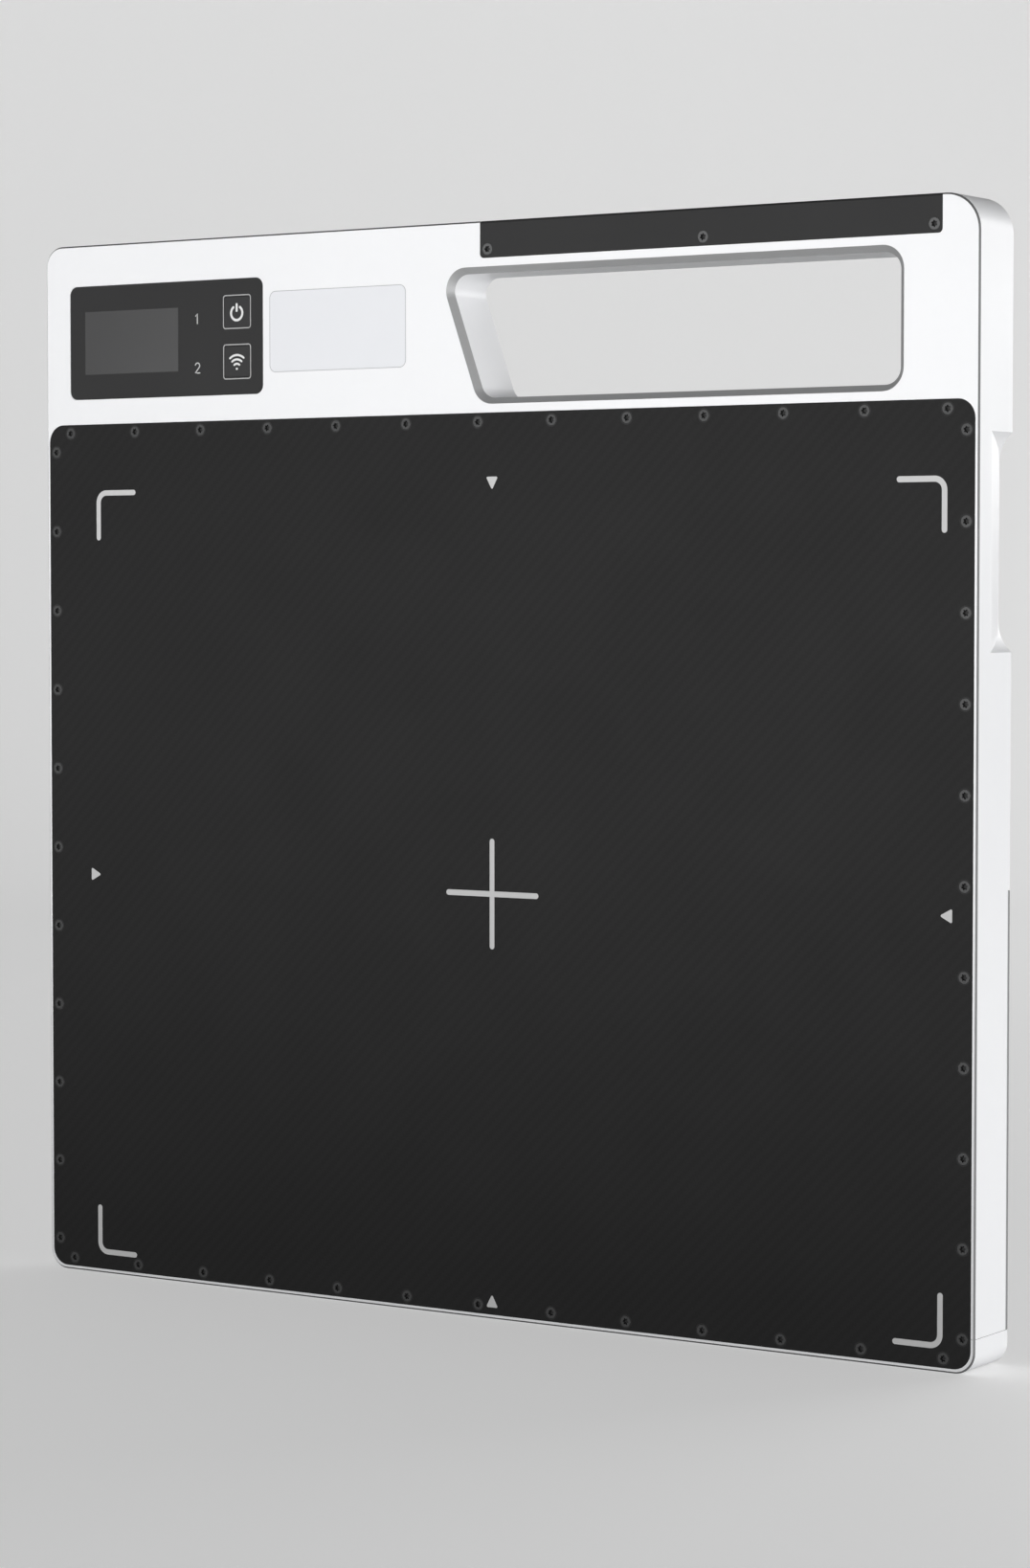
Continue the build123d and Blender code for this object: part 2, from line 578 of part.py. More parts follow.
def rear_openings():
    """The rear plate's seat and the service opening under it."""
    seat = slab(-HALF, HALF, SEAM_HEIGHT, REAR_PLATE_TOP + REAR_PLATE_GAP,
                DEPTH - REAR_PLATE_THICKNESS, DEPTH)
    edge = HALF - REAR_LAND_WIDTH
    land = 2 * REAR_SCREW_EDGE
    opening = slab(-edge, edge, REAR_PLATE_LOW + land, REAR_PLATE_TOP - land, LAND_FRONT,
                   DEPTH, CAVITY_RADIUS)
    return [seat, opening]


def rear_seal_ring():
    """Seal between the rear plate and the frame, also the form of its groove."""
    edge = HALF - REAR_LAND_WIDTH + 2 * SEAL_WIDTH
    land = 2 * REAR_SCREW_EDGE - 2 * SEAL_WIDTH
    seat = DEPTH - REAR_PLATE_THICKNESS
    return ring(-edge, edge, REAR_PLATE_LOW + land, REAR_PLATE_TOP - land, SEAL_WIDTH,
                seat - SEAL_THICKNESS, seat)


def front_seal_ring():
    """Seal between the front plate and the ledge, inside the ring of screws."""
    edge = PLATE_HALF - SCREW_EDGE - HEAD_RADIUS - SEAL_WIDTH / 2
    low = PLATE_MARGIN + SCREW_EDGE + HEAD_RADIUS
    high = PLATE_TOP - SCREW_EDGE - HEAD_RADIUS - SEAL_WIDTH / 2
    return ring(-edge, edge, low, high, SEAL_WIDTH, PLATE_THICKNESS,
                PLATE_THICKNESS + SEAL_THICKNESS)


def front_recesses():
    """Seats of the front plate, the control bezel and the label, and the bezel's pocket."""
    plate = slab(-PLATE_HALF, PLATE_HALF, PLATE_MARGIN, PLATE_TOP, 0, PLATE_THICKNESS,
                 PLATE_RADIUS)
    bezel = slab(BEZEL_X0, BEZEL_X1, BEZEL_Z0, BEZEL_Z1, 0, BEZEL_BACK, BEZEL_RADIUS)
    pocket = slab(BEZEL_X0 + POCKET_LIP, BEZEL_X1 - POCKET_LIP, BEZEL_Z0 + POCKET_LIP,
                  BEZEL_Z1 - POCKET_LIP, BEZEL_BACK, POCKET_BACK)
    slot = slab(RIBBON_X - CABLE_SLOT_WIDTH / 2, RIBBON_X + CABLE_SLOT_WIDTH / 2,
                SLOT_Z - CABLE_SLOT_HEIGHT / 2, SLOT_Z + CABLE_SLOT_HEIGHT / 2,
                POCKET_BACK, HOLLOW_FRONT)
    return [plate, bezel, pocket, slot, label(LABEL_THICKNESS)]


def label(thickness):
    """The label plate, also the form of its shallow recess."""
    left = BEZEL_X1 + LABEL_GAP_LEFT
    top = HEIGHT - LABEL_TOP_EDGE
    return slab(left, left + LABEL_WIDTH, top - LABEL_HEIGHT, top, 0, thickness, LABEL_RADIUS)


def antenna_cuts():
    """Pocket under the handle cover, and the bore that brings the leads to it."""
    pocket = slab(ANTENNA_POCKET_X0, ANTENNA_POCKET_X1, ANTENNA_FLOOR, CORE_TOP,
                  (DEPTH - ANTENNA_WIDTH) / 2 - LEAD_CLEARANCE,
                  (DEPTH + ANTENNA_WIDTH) / 2 + LEAD_CLEARANCE)
    start, end = HOLLOW_RIGHT - LEAD_BORE, ANTENNA_POCKET_X0 + LEAD_BORE
    place = Plane(origin=(start, lead_y(), lead_z()), z_dir=(1, 0, 0))
    return [pocket, extrude(place * RegularPolygon(LEAD_BORE, SCREW_SIDES), amount=end - start)]


def lead_y(side=0):
    """Depth of the leads, which lie side by side on the back of the shield can."""
    on_can = BOARD_BACK + SHIELD_DEPTH + LEAD_RADIUS + LEAD_CLEARANCE
    return FRONT + on_can + (1 + side) * LEAD_SPACING / 2


def lead_z():
    """Height at which the leads pass into the handle bar and onto the antennas."""
    return ANTENNA_FLOOR + ANTENNA_THICKNESS + LEAD_RADIUS + LEAD_CLEARANCE / 2


def contact_window(gap=0.0):
    """The contact block, or the window in the bay floor that holds it."""
    half_width = CONTACT_BLOCK_WIDTH / 2 + gap
    half_height = CONTACT_BLOCK_HEIGHT / 2 + gap
    return slab(CONTACT_BLOCK_RIGHT - half_width, CONTACT_BLOCK_RIGHT + half_width,
                CONTACT_Z - half_height, CONTACT_Z + half_height,
                BAY_BOTTOM - CONTACT_BLOCK_THICKNESS, BAY_BOTTOM)


def whole_frame():
    """Main housing and bottom rail in one, before they are parted at the seam."""
    frame = BODY - rooms()
    rib = slab(RIB_LEFT, ROOM_HALF, RIB_LOW, RIB_HIGH, SUPPORT_BACK, DEPTH)
    sill = slab(-ROOM_HALF, ROOM_HALF, SEAM_HEIGHT, SEAM_HEIGHT + SILL_HEIGHT,
                RAIL_SCREW_DEPTH - RAIL_POST / 2, LAND_FRONT)
    bay = slab(-BAY_HALF - BAY_WALL, BAY_HALF + BAY_WALL, BAY_LOW - BAY_WALL,
               BAY_HIGH + BAY_WALL, BAY_BOTTOM - BAY_FLOOR, DEPTH)
    half = RAIL_POST / 2
    rail_posts = [slab(x - half, x + half, BOTTOM_WALL, SEAM_HEIGHT, RAIL_SCREW_DEPTH - half,
                       LAND_FRONT) for x in RAIL_PLACES]
    frame = frame + [rib, sill, bay] + posts() + scoop_backing() + latch_blocks() + rail_posts
    bay_room = slab(-BAY_HALF, BAY_HALF, BAY_LOW, BAY_HIGH, BAY_BOTTOM, DEPTH, BAY_RADIUS)
    lowered = slab(-HALF, HALF, 0, SEAM_HEIGHT, DEPTH - RAIL_STEP, DEPTH)
    shell = cover_zone() - bar_core()
    cuts = [bay_room, lowered, shell, contact_window(LEAD_CLEARANCE)]
    cuts += front_recesses() + rear_openings() + latch_tracks() + antenna_cuts()
    cuts += [front_seal_ring(), rear_seal_ring()]
    cuts += PLATE_HOLES + REAR_HOLES + COVER_HOLES + SUPPORT_HOLES + RAIL_HOLES
    return frame - cuts


def part_above(shape, height):
    """What lies above a height."""
    return shape & slab(-HALF, HALF, height, HEIGHT, 0, DEPTH)


def part_below(shape, height):
    """What lies below a height."""
    return shape & slab(-HALF, HALF, 0, height, 0, DEPTH)


def front_plate():
    """Carbon-fibre x-ray window, flush with the frame."""
    gap = SCREW_CLEARANCE
    plate = slab(-PLATE_HALF + gap, PLATE_HALF - gap, PLATE_MARGIN + gap, PLATE_TOP - gap, 0,
                 PLATE_THICKNESS, PLATE_RADIUS - gap)
    return plate - PLATE_HOLES


def rear_plate():
    """Grey service cover, whose edges show on both sides of the body."""
    plate = BODY & slab(-HALF, HALF, REAR_PLATE_LOW, REAR_PLATE_TOP,
                        DEPTH - REAR_PLATE_THICKNESS, DEPTH)
    return plate - REAR_HOLES


def handle_cover():
    """Dark channel over the antennas, flush with the bar's outer faces."""
    return cover_zone() - bar_core(COVER_GAP) - COVER_HOLES


def panel_layer(front, back):
    """A sheet of the panel that covers the image area."""
    return slab(IMAGE_LEFT, IMAGE_RIGHT, IMAGE_LOW, IMAGE_TOP, front, back)


def support_plate():
    """Stiff plate that carries the panel in front and the boards behind."""
    plate = slab(SUPPORT_LEFT, NECK_HALF - PANEL_GAP, IMAGE_LOW, SUPPORT_TOP, LEAD_BACK,
                 SUPPORT_BACK)
    return plate - SUPPORT_HOLES


def gate_flexes():
    """Row-driver circuits that fold from the glass round the support plate's left edge."""
    outer = GLASS_LEFT - FLEX_REACH
    level = FRONT + SCINTILLATOR_BACK - FLEX_THICKNESS / 2
    behind = FRONT + BOARD_BACK + FLEX_THICKNESS / 2
    points = [(GLASS_LEFT + BOND_MARGIN - PANEL_GAP, level), (outer, level), (outer, behind),
              (GATE_BOARD_X0 + FLEX_BOND, behind)]
    low = GATE_FLEX_WIDTH / 2
    return [bent_strip(points, FLEX_THICKNESS, FLEX_BEND, Plane.XY.offset(z - low),
                       GATE_FLEX_WIDTH) for z in GATE_FLEX_Z]


def readout_flexes():
    """Column-readout circuits that fold over the support plate's top edge."""
    outer = GLASS_TOP + FLEX_REACH
    level = FRONT + SCINTILLATOR_BACK - FLEX_THICKNESS / 2
    behind = FRONT + BOARD_BACK + FLEX_THICKNESS / 2
    points = [(level, IMAGE_TOP + PANEL_GAP), (level, outer), (behind, outer),
              (behind, READOUT_BOARD_TOP - FLEX_BOND)]
    half = READOUT_FLEX_WIDTH / 2
    return [bent_strip(points, FLEX_THICKNESS, FLEX_BEND, Plane.YZ.offset(x - half),
                       READOUT_FLEX_WIDTH) for x in READOUT_FLEX_X]


def board(x0, x1, z0, z1):
    """A circuit board behind the support plate."""
    return slab(x0, x1, z0, z1, BOARD_FRONT, BOARD_BACK)


BOARDS = {
    "gate_board": (GATE_BOARD_X0, GATE_BOARD_X1, GATE_BOARD_LOW, IMAGE_TOP - BOARD_EDGE),
    "readout_board": (READOUT_BOARD_X0, READOUT_BOARD_X1, READOUT_BOARD_LOW, READOUT_BOARD_TOP),
    "main_board": (MAIN_BOARD_X0, MAIN_BOARD_X1, MAIN_BOARD_LOW, MAIN_BOARD_TOP),
    "power_board": (POWER_BOARD_X0, POWER_BOARD_X1, MAIN_BOARD_LOW, MAIN_BOARD_TOP),
}


def board_spacers():
    """Hexagonal standoffs near the corners of every board."""
    spacer = prism(RegularPolygon(SPACER_RADIUS, 6), SUPPORT_BACK, BOARD_FRONT)
    places = [(x, z) for x0, x1, z0, z1 in BOARDS.values()
              for x in (x0 + SPACER_INSET, x1 - SPACER_INSET)
              for z in (z0 + SPACER_INSET, z1 - SPACER_INSET)]
    return [Pos(x, 0, z) * spacer for x, z in places]


def chips():
    """Readout chips under each readout circuit, and the larger chips of the other boards."""
    half = CHIP_SIZE / 2
    low = READOUT_BOARD_LOW + SPACER_INSET
    readout = [(x, low + half / 2, half, half / 2) for x in READOUT_FLEX_X
               if x - half > READOUT_BOARD_X0 and x + half < READOUT_BOARD_X1]
    middle = (MAIN_BOARD_LOW + MAIN_BOARD_TOP) / 2
    step = 2 * CHIP_SIZE
    main = [(MAIN_BOARD_X1 - step * (i + 1), middle + step * (i % 2), CHIP_SIZE * 0.7,
             CHIP_SIZE * 0.7) for i in range(3)]
    power_x = (POWER_BOARD_X0 + POWER_BOARD_X1) / 2
    power = [(power_x, middle + step * (i - 1), CHIP_SIZE, half) for i in range(3)]
    return [slab(x - w, x + w, z - h, z + h, BOARD_BACK, BOARD_BACK + CHIP_HEIGHT)
            for x, z, w, h in readout + main + power]


def shield_can():
    """Pressed metal can over the radio part of the main board."""
    x0, z0 = SHIELD_X0, SHIELD_Z0
    can = slab(x0, x0 + SHIELD_WIDTH, z0, z0 + SHIELD_HEIGHT, BOARD_BACK,
               BOARD_BACK + SHIELD_DEPTH)
    inside = slab(x0 + SHIELD_WALL, x0 + SHIELD_WIDTH - SHIELD_WALL, z0 + SHIELD_WALL,
                  z0 + SHIELD_HEIGHT - SHIELD_WALL, BOARD_BACK,
                  BOARD_BACK + SHIELD_DEPTH - SHIELD_WALL)
    return can - inside


def arched_strip(z_from, z_to, x0, width):
    """A flat cable that runs up behind the boards from one to the next."""
    rest = FRONT + BOARD_BACK + FLEX_THICKNESS / 2
    lifted = rest + CABLE_ARCH - FLEX_THICKNESS
    points = [(rest, z_from - FLEX_BOND), (rest, z_from - FLEX_BEND / 2),
              (lifted, z_from + FLEX_BEND), (lifted, z_to - FLEX_BEND),
              (rest, z_to + FLEX_BEND / 2), (rest, z_to + FLEX_BOND)]
    return bent_strip(points, FLEX_THICKNESS, FLEX_THICKNESS, Plane.YZ.offset(x0), width)


def board_cables():
    """Flat cables between the boards, in the free corridor left of the cross rib."""
    x0 = READOUT_BOARD_X0 + BOARD_SPACE
    to_readout = arched_strip(MAIN_BOARD_TOP, READOUT_BOARD_LOW, x0, RIBBON_WIDTH)
    rest = FRONT + BOARD_BACK + FLEX_THICKNESS / 2
    lifted = rest + CABLE_ARCH - FLEX_THICKNESS

    def across(x_from, x_to, z0):
        points = [(x_from - FLEX_BOND, rest), (x_from - FLEX_BEND / 2, rest),
                  (x_from + FLEX_BEND / 2, lifted), (x_to - FLEX_BEND / 2, lifted),
                  (x_to + FLEX_BEND / 2, rest), (x_to + FLEX_BOND, rest)]
        return bent_strip(points, FLEX_THICKNESS, FLEX_THICKNESS, Plane.XY.offset(z0),
                          RIBBON_WIDTH * 2)

    low = MAIN_BOARD_LOW + RIBBON_WIDTH * 2
    to_gate = across(GATE_BOARD_X1, MAIN_BOARD_X0, low)
    to_power = across(MAIN_BOARD_X1, POWER_BOARD_X0, low)
    return [to_readout, to_gate, to_power]


def panel_ribbon():
    """Ribbon cable from the key board, through the slot and down to the main board."""
    start = FRONT + KEY_BOARD_FRONT + BOARD_THICKNESS + FLEX_THICKNESS / 2
    behind = FRONT + HOLLOW_FRONT + CABLE_ARCH
    end = FRONT + BOARD_BACK + FLEX_THICKNESS / 2
    points = [(start, SLOT_Z + CABLE_SLOT_HEIGHT), (start, SLOT_Z), (behind, SLOT_Z),
              (behind, MAIN_BOARD_TOP + RIBBON_WIDTH), (end, MAIN_BOARD_TOP),
              (end, MAIN_BOARD_TOP - FLEX_BOND)]
    return bent_strip(points, FLEX_THICKNESS, FLEX_THICKNESS,
                      Plane.YZ.offset(RIBBON_X - RIBBON_WIDTH / 2), RIBBON_WIDTH)


def antenna_starts():
    """Left ends of both antennas."""
    middle = (ANTENNA_POCKET_X0 + ANTENNA_POCKET_X1) / 2
    return ANTENNA_POCKET_X0 + ANTENNA_END, middle + ANTENNA_END


def antennas():
    """Two antenna strips lying in the pocket of the handle bar."""
    depth = (DEPTH - ANTENNA_WIDTH) / 2
    return [slab(x, x + ANTENNA_LENGTH, ANTENNA_FLOOR, ANTENNA_FLOOR + ANTENNA_THICKNESS,
                 depth, depth + ANTENNA_WIDTH) for x in antenna_starts()]


def antenna_leads():
    """Two thin coaxial leads from the shielded radio up to the antennas."""
    leads = []
    for side, antenna in zip((-1, 1), antenna_starts()):
        y = lead_y(side)
        x_up = RIB_LEFT - LEAD_BORE - (1 + side) * LEAD_SPACING
        z_can = SHIELD_Z0 + (2 + side) * LEAD_BEND
        points = [(SHIELD_X0 + LEAD_BEND, y, z_can), (x_up, y, z_can), (x_up, y, lead_z()),
                  (antenna + LEAD_BEND, y, lead_z())]
        route = FilletPolyline(*points, radius=LEAD_BEND)
        start = Plane(origin=route @ 0, z_dir=route % 0)
        leads.append(sweep(start * RegularPolygon(LEAD_RADIUS, LEAD_SIDES), path=route))
    return leads


def control_bezel():
    """Dark panel with openings for the display window and both keys."""
    gap = BEZEL_GAP
    bezel = slab(BEZEL_X0 + gap, BEZEL_X1 - gap, BEZEL_Z0 + gap, BEZEL_Z1 - gap, BEZEL_SINK,
                 BEZEL_BACK, BEZEL_RADIUS - gap)
    return bezel - display_window(gap) - key_opening(POWER_KEY_Z) - key_opening(WIRELESS_KEY_Z)


def display_window(gap=0.0):
    """Clear window of the display, or the opening that holds it."""
    x0 = BEZEL_X0 + WINDOW_LEFT
    z1 = BEZEL_Z1 - WINDOW_TOP
    back = BEZEL_BACK if gap else BEZEL_SINK + WINDOW_THICKNESS
    return slab(x0 - gap, x0 + WINDOW_WIDTH + gap, z1 - WINDOW_HEIGHT - gap, z1 + gap,
                BEZEL_SINK, back)


def display_module():
    """Display behind the window, with a raised step that meets it."""
    x0 = BEZEL_X0 + WINDOW_LEFT
    z1 = BEZEL_Z1 - WINDOW_TOP
    rim = DISPLAY_RIM
    step = slab(x0, x0 + WINDOW_WIDTH, z1 - WINDOW_HEIGHT, z1, BEZEL_SINK + WINDOW_THICKNESS,
                BEZEL_BACK)
    return step + slab(x0 - rim, x0 + WINDOW_WIDTH + rim, z1 - WINDOW_HEIGHT - rim, z1 + rim,
                       BEZEL_BACK, BEZEL_BACK + DISPLAY_THICKNESS)


def key_opening(z):
    """Opening of the bezel round one key."""
    w = KEY_WIDTH / 2 + KEY_CLEARANCE
    h = KEY_HEIGHT / 2 + KEY_CLEARANCE
    return slab(KEY_X - w, KEY_X + w, z - h, z + h, BEZEL_SINK, BEZEL_BACK,
                KEY_RADIUS + KEY_CLEARANCE)


def key(z):
    """A push key with the flange that keeps it behind the bezel."""
    w, h = KEY_WIDTH / 2, KEY_HEIGHT / 2
    cap = slab(KEY_X - w, KEY_X + w, z - h, z + h, BEZEL_SINK, BEZEL_BACK + FLANGE_GAP,
               KEY_RADIUS)
    w, h = w + FLANGE_WIDTH, h + FLANGE_WIDTH
    flange = slab(KEY_X - w, KEY_X + w, z - h, z + h, BEZEL_BACK + FLANGE_GAP, KEY_BACK)
    return cap + flange


def key_board():
    """Small board behind the keys."""
    half = KEY_WIDTH / 2 + FLANGE_WIDTH
    left = RIBBON_X - RIBBON_WIDTH / 2
    return slab(left, KEY_X + half, BEZEL_Z0 + POCKET_LIP, BEZEL_Z1 - POCKET_LIP,
                KEY_BOARD_FRONT, KEY_BOARD_FRONT + BOARD_THICKNESS)


def key_board_posts():
    """Posts that carry the key board and the display off the pocket's floor."""
    back = POCKET_BACK
    board_back = KEY_BOARD_FRONT + BOARD_THICKNESS
    half = SPACER_RADIUS
    right = KEY_X + KEY_WIDTH / 2 - half
    left = KEY_X - KEY_WIDTH / 2 + half
    places = [(x, z, board_back) for x in (left, right)
              for z in (BEZEL_Z0 + POCKET_LIP + 2 * half, BEZEL_Z1 - POCKET_LIP - 2 * half)]
    x0 = BEZEL_X0 + WINDOW_LEFT
    z1 = BEZEL_Z1 - WINDOW_TOP
    places += [(x, z1 - WINDOW_HEIGHT / 2, BEZEL_BACK + DISPLAY_THICKNESS)
               for x in (x0 + half, x0 + WINDOW_WIDTH - half)]
    return [slab(x - half, x + half, z - half, z + half, front, back) for x, z, front in places]


def key_switches():
    """Push switches whose plungers wait just behind the keys."""
    half = SWITCH_SIZE / 2
    both = []
    for z in (POWER_KEY_Z, WIRELESS_KEY_Z):
        body = slab(KEY_X - half, KEY_X + half, z - half, z + half,
                    SWITCH_TOP + PLUNGER_HEIGHT, KEY_BOARD_FRONT)
        plunger = Pos(KEY_X, 0, z) * prism(RegularPolygon(PLUNGER_RADIUS, SCREW_SIDES),
                                           SWITCH_TOP, SWITCH_TOP + PLUNGER_HEIGHT)
        both.append(body + plunger)
    return both


def grip_recess():
    """Finger recess in the battery's back, open towards the bay's upper wall."""
    half = GRIP_WIDTH / 2
    top = BAY_HIGH - BATTERY_GAP
    return slab(-half, half, top - GRIP_HEIGHT, top + GRIP_RADIUS, BATTERY_BACK - GRIP_DEPTH,
                BATTERY_BACK, GRIP_RADIUS)


def battery_shell(half, front, back):
    """One half of the battery's shell, with room for the cells and the grip recess."""
    gap = BATTERY_GAP
    shell = slab(-half, half, BAY_LOW + gap, BAY_HIGH - gap, front, back, BAY_RADIUS - gap)
    return shell - slab(*cell_room(), BATTERY_FRONT, BATTERY_BACK - BATTERY_WALL) - grip_recess()


def battery_case():
    """Wide half of the shell, whose side edges are the ledges that the latches hold."""
    return battery_shell(BATTERY_HALF, BATTERY_FRONT, LEDGE_LEVEL)


def battery_lid():
    """Narrow half of the shell, which stands out between the two latches."""
    return battery_shell(BATTERY_HALF - BATTERY_LEDGE_WIDTH, LEDGE_LEVEL, BATTERY_BACK)


def cell_room():
    """Corners of the space for the cells, seen from the front."""
    half = BATTERY_HALF - BATTERY_LEDGE_WIDTH - BATTERY_WALL
    top = BAY_HIGH - BATTERY_GAP - GRIP_HEIGHT - BATTERY_WALL
    return -half, half, BAY_LOW + BATTERY_GAP + BATTERY_WALL, top


def battery_base():
    """Inner lid that closes the pack towards the bay's floor."""
    x0, x1, z0, z1 = cell_room()
    return slab(x0, x1, z0, z1, BATTERY_FRONT, BATTERY_FRONT + BATTERY_BASE)


def battery_cells():
    """Flat lithium cells side by side in the pack."""
    x0, x1, z0, z1 = cell_room()
    gap = CELL_CLEARANCE
    pitch = (x1 - x0 - 2 * gap + CELL_GAP) / CELL_COUNT
    return [slab(x0 + gap + pitch * i, x0 + gap + pitch * (i + 1) - CELL_GAP, z0 + gap, z1 - gap,
                 BATTERY_FRONT + BATTERY_BASE, BATTERY_BACK - BATTERY_WALL - gap)
            for i in range(CELL_COUNT)]


def latch():
    """Sliding latch of the right side in its open place, with thumb ribs and a tongue."""
    half = LATCH_WIDTH / 2
    wide = half + LATCH_FLANGE
    flange = slab(LATCH_X0, LATCH_X1, LATCH_Z - wide, LATCH_Z + wide, LATCH_FRONT, LEDGE_LEVEL)
    top = slab(LATCH_X0, LATCH_X1, LATCH_Z - half, LATCH_Z + half, LEDGE_LEVEL, BATTERY_BACK)
    tongue = slab(LATCH_X0 - TONGUE_LENGTH, LATCH_X0, LATCH_Z - TONGUE_WIDTH / 2,
                  LATCH_Z + TONGUE_WIDTH / 2, TONGUE_FRONT, BATTERY_BACK)
    pitch = LATCH_LENGTH / (LATCH_RIB_COUNT + 1)
    grooves = [slab(x - pitch / 4, x + pitch / 4, LATCH_Z - half, LATCH_Z + half,
                    BATTERY_BACK - LATCH_RIB_DEPTH, BATTERY_BACK)
               for x in spread(LATCH_X0 + pitch, LATCH_X1 - pitch, LATCH_RIB_COUNT)]
    return flange + top + tongue - grooves


def contact_pins():
    """Spring contacts that reach through the block to just short of the battery."""
    first = CONTACT_BLOCK_RIGHT - CONTACT_PITCH * (CONTACT_COUNT - 1) / 2
    pin = prism(RegularPolygon(CONTACT_RADIUS, 6), BAY_BOTTOM - CONTACT_BLOCK_THICKNESS,
                BATTERY_FRONT - CONTACT_GAP)
    return [Pos(first + CONTACT_PITCH * i, 0, CONTACT_Z) * pin for i in range(CONTACT_COUNT)]


WHOLE = whole_frame()
LATCH = latch()
PINS = contact_pins()
WINDOW_RIGHT = IMAGE_RIGHT + PANEL_GAP

NODES = {
    "main_housing": part_above(WHOLE, SEAM_HEIGHT + SEAM_GAP) + key_board_posts(),
    "bottom_rail": part_below(WHOLE, SEAM_HEIGHT),
    "rail_screws": RAIL_SCREW_SET,
    "front_plate": front_plate(),
    "front_plate_screws": PLATE_SCREWS,
    "front_seal": front_seal_ring(),
    "handle_cover": handle_cover(),
    "handle_cover_screws": COVER_SCREW_SET,
    "rear_plate": rear_plate(),
    "rear_plate_screws": REAR_SCREWS,
    "rear_seal": rear_seal_ring(),
    "foam_pad": panel_layer(PLATE_THICKNESS, FOAM_BACK),
    "scintillator": panel_layer(FOAM_BACK, SCINTILLATOR_BACK),
    "sensor_glass": slab(GLASS_LEFT, WINDOW_RIGHT, IMAGE_LOW, GLASS_TOP, SCINTILLATOR_BACK,
                         GLASS_BACK),
    "lead_sheet": panel_layer(GLASS_BACK, LEAD_BACK),
    "support_plate": support_plate(),
    "support_screws": SUPPORT_SCREWS,
    "gate_flexes": gate_flexes(),
    "readout_flexes": readout_flexes(),
    "board_spacers": board_spacers(),
    "board_chips": chips(),
    "shield_can": shield_can(),
    "board_cables": board_cables(),
    "panel_ribbon": panel_ribbon(),
    "antennas": antennas(),
    "antenna_leads": antenna_leads(),
    "control_bezel": control_bezel(),
    "display_window": display_window(),
    "display_module": display_module(),
    "power_key": key(POWER_KEY_Z),
    "wireless_key": key(WIRELESS_KEY_Z),
    "key_board": key_board(),
    "key_switches": key_switches(),
    "label_plate": label(LABEL_THICKNESS),
    "battery_case": battery_case(),
    "battery_lid": battery_lid(),
    "battery_base": battery_base(),
    "battery_cells": battery_cells(),
    "contact_block": contact_window() - PINS,
    "contact_pins": PINS,
    "latch_right": LATCH,
    "latch_left": mirror(LATCH, about=Plane.YZ),
}
NODES.update({name: board(*corners) for name, corners in BOARDS.items()})

os.makedirs("parts", exist_ok=True)
for name, shape in NODES.items():
    pieces = shape if isinstance(shape, list) else [shape]
    solids = [solid for piece in pieces for solid in piece.solids()]
    export_step(Compound(children=solids), f"parts/{name}.step")
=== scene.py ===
"""X-ray flat panel detector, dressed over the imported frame.

A flat white housing carries a dark carbon-fibre front plate with printed alignment marks, a hand
hole with one slanted end, a dark cover over the handle bar, a control panel with two keys, and a
battery pack in its back. Plain numbers are in millimetres in the model's frame: x to the right,
y from the front to the back, z up.
"""
import json
import logging
import math
from dataclasses import dataclass, field
from enum import Enum
from functools import cache
from typing import Any, Callable

import bmesh
import bpy
import numpy as np
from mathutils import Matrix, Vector

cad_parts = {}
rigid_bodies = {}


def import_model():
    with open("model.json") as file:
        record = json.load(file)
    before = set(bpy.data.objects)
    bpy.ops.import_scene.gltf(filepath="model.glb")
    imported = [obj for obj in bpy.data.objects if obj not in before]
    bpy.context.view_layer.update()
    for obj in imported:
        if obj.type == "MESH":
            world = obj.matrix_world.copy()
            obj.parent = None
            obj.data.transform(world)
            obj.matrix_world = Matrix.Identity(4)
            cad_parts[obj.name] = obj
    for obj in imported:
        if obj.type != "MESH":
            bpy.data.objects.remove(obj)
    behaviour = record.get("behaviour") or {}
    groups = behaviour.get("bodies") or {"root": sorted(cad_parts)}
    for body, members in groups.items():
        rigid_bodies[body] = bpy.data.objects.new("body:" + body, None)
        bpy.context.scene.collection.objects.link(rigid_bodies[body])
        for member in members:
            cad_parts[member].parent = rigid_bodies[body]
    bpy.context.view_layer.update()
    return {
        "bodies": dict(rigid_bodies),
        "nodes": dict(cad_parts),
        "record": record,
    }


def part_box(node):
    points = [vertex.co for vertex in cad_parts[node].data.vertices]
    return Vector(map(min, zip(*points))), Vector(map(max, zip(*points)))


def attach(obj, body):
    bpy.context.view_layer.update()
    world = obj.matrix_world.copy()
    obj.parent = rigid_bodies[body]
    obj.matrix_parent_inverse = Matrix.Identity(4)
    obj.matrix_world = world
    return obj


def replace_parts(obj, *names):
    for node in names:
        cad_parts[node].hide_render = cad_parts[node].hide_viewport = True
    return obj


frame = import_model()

log = logging.getLogger("detector")
MM = 0.001  # metres
FRONT, BACK = -14.5, 14.5  # depths of the housing's two faces
PRINT_PROUD = 0.02  # ink stands this far out of its surface
PRINT_SUNK = 0.05  # and reaches this far into it
PIECE_CREASE = 35.0  # edges sharper than this many degrees stay sharp on a new piece
CAD_CREASE = 25.0  # and on a copy of a CAD node
FLAT = 0.5  # faces that meet at less than this many degrees count as one
MERGE = 1e-6  # metres between points that count as one
ROUND_END = 0.98  # share of a quarter turn in a stroke's round end, which so keeps some width

Array = np.ndarray
Object = bpy.types.Object
Socket = bpy.types.NodeSocket
Pair = tuple[float, float]
Shape = tuple[Array, list]  # points as rows of x, y, z in millimetres, and faces


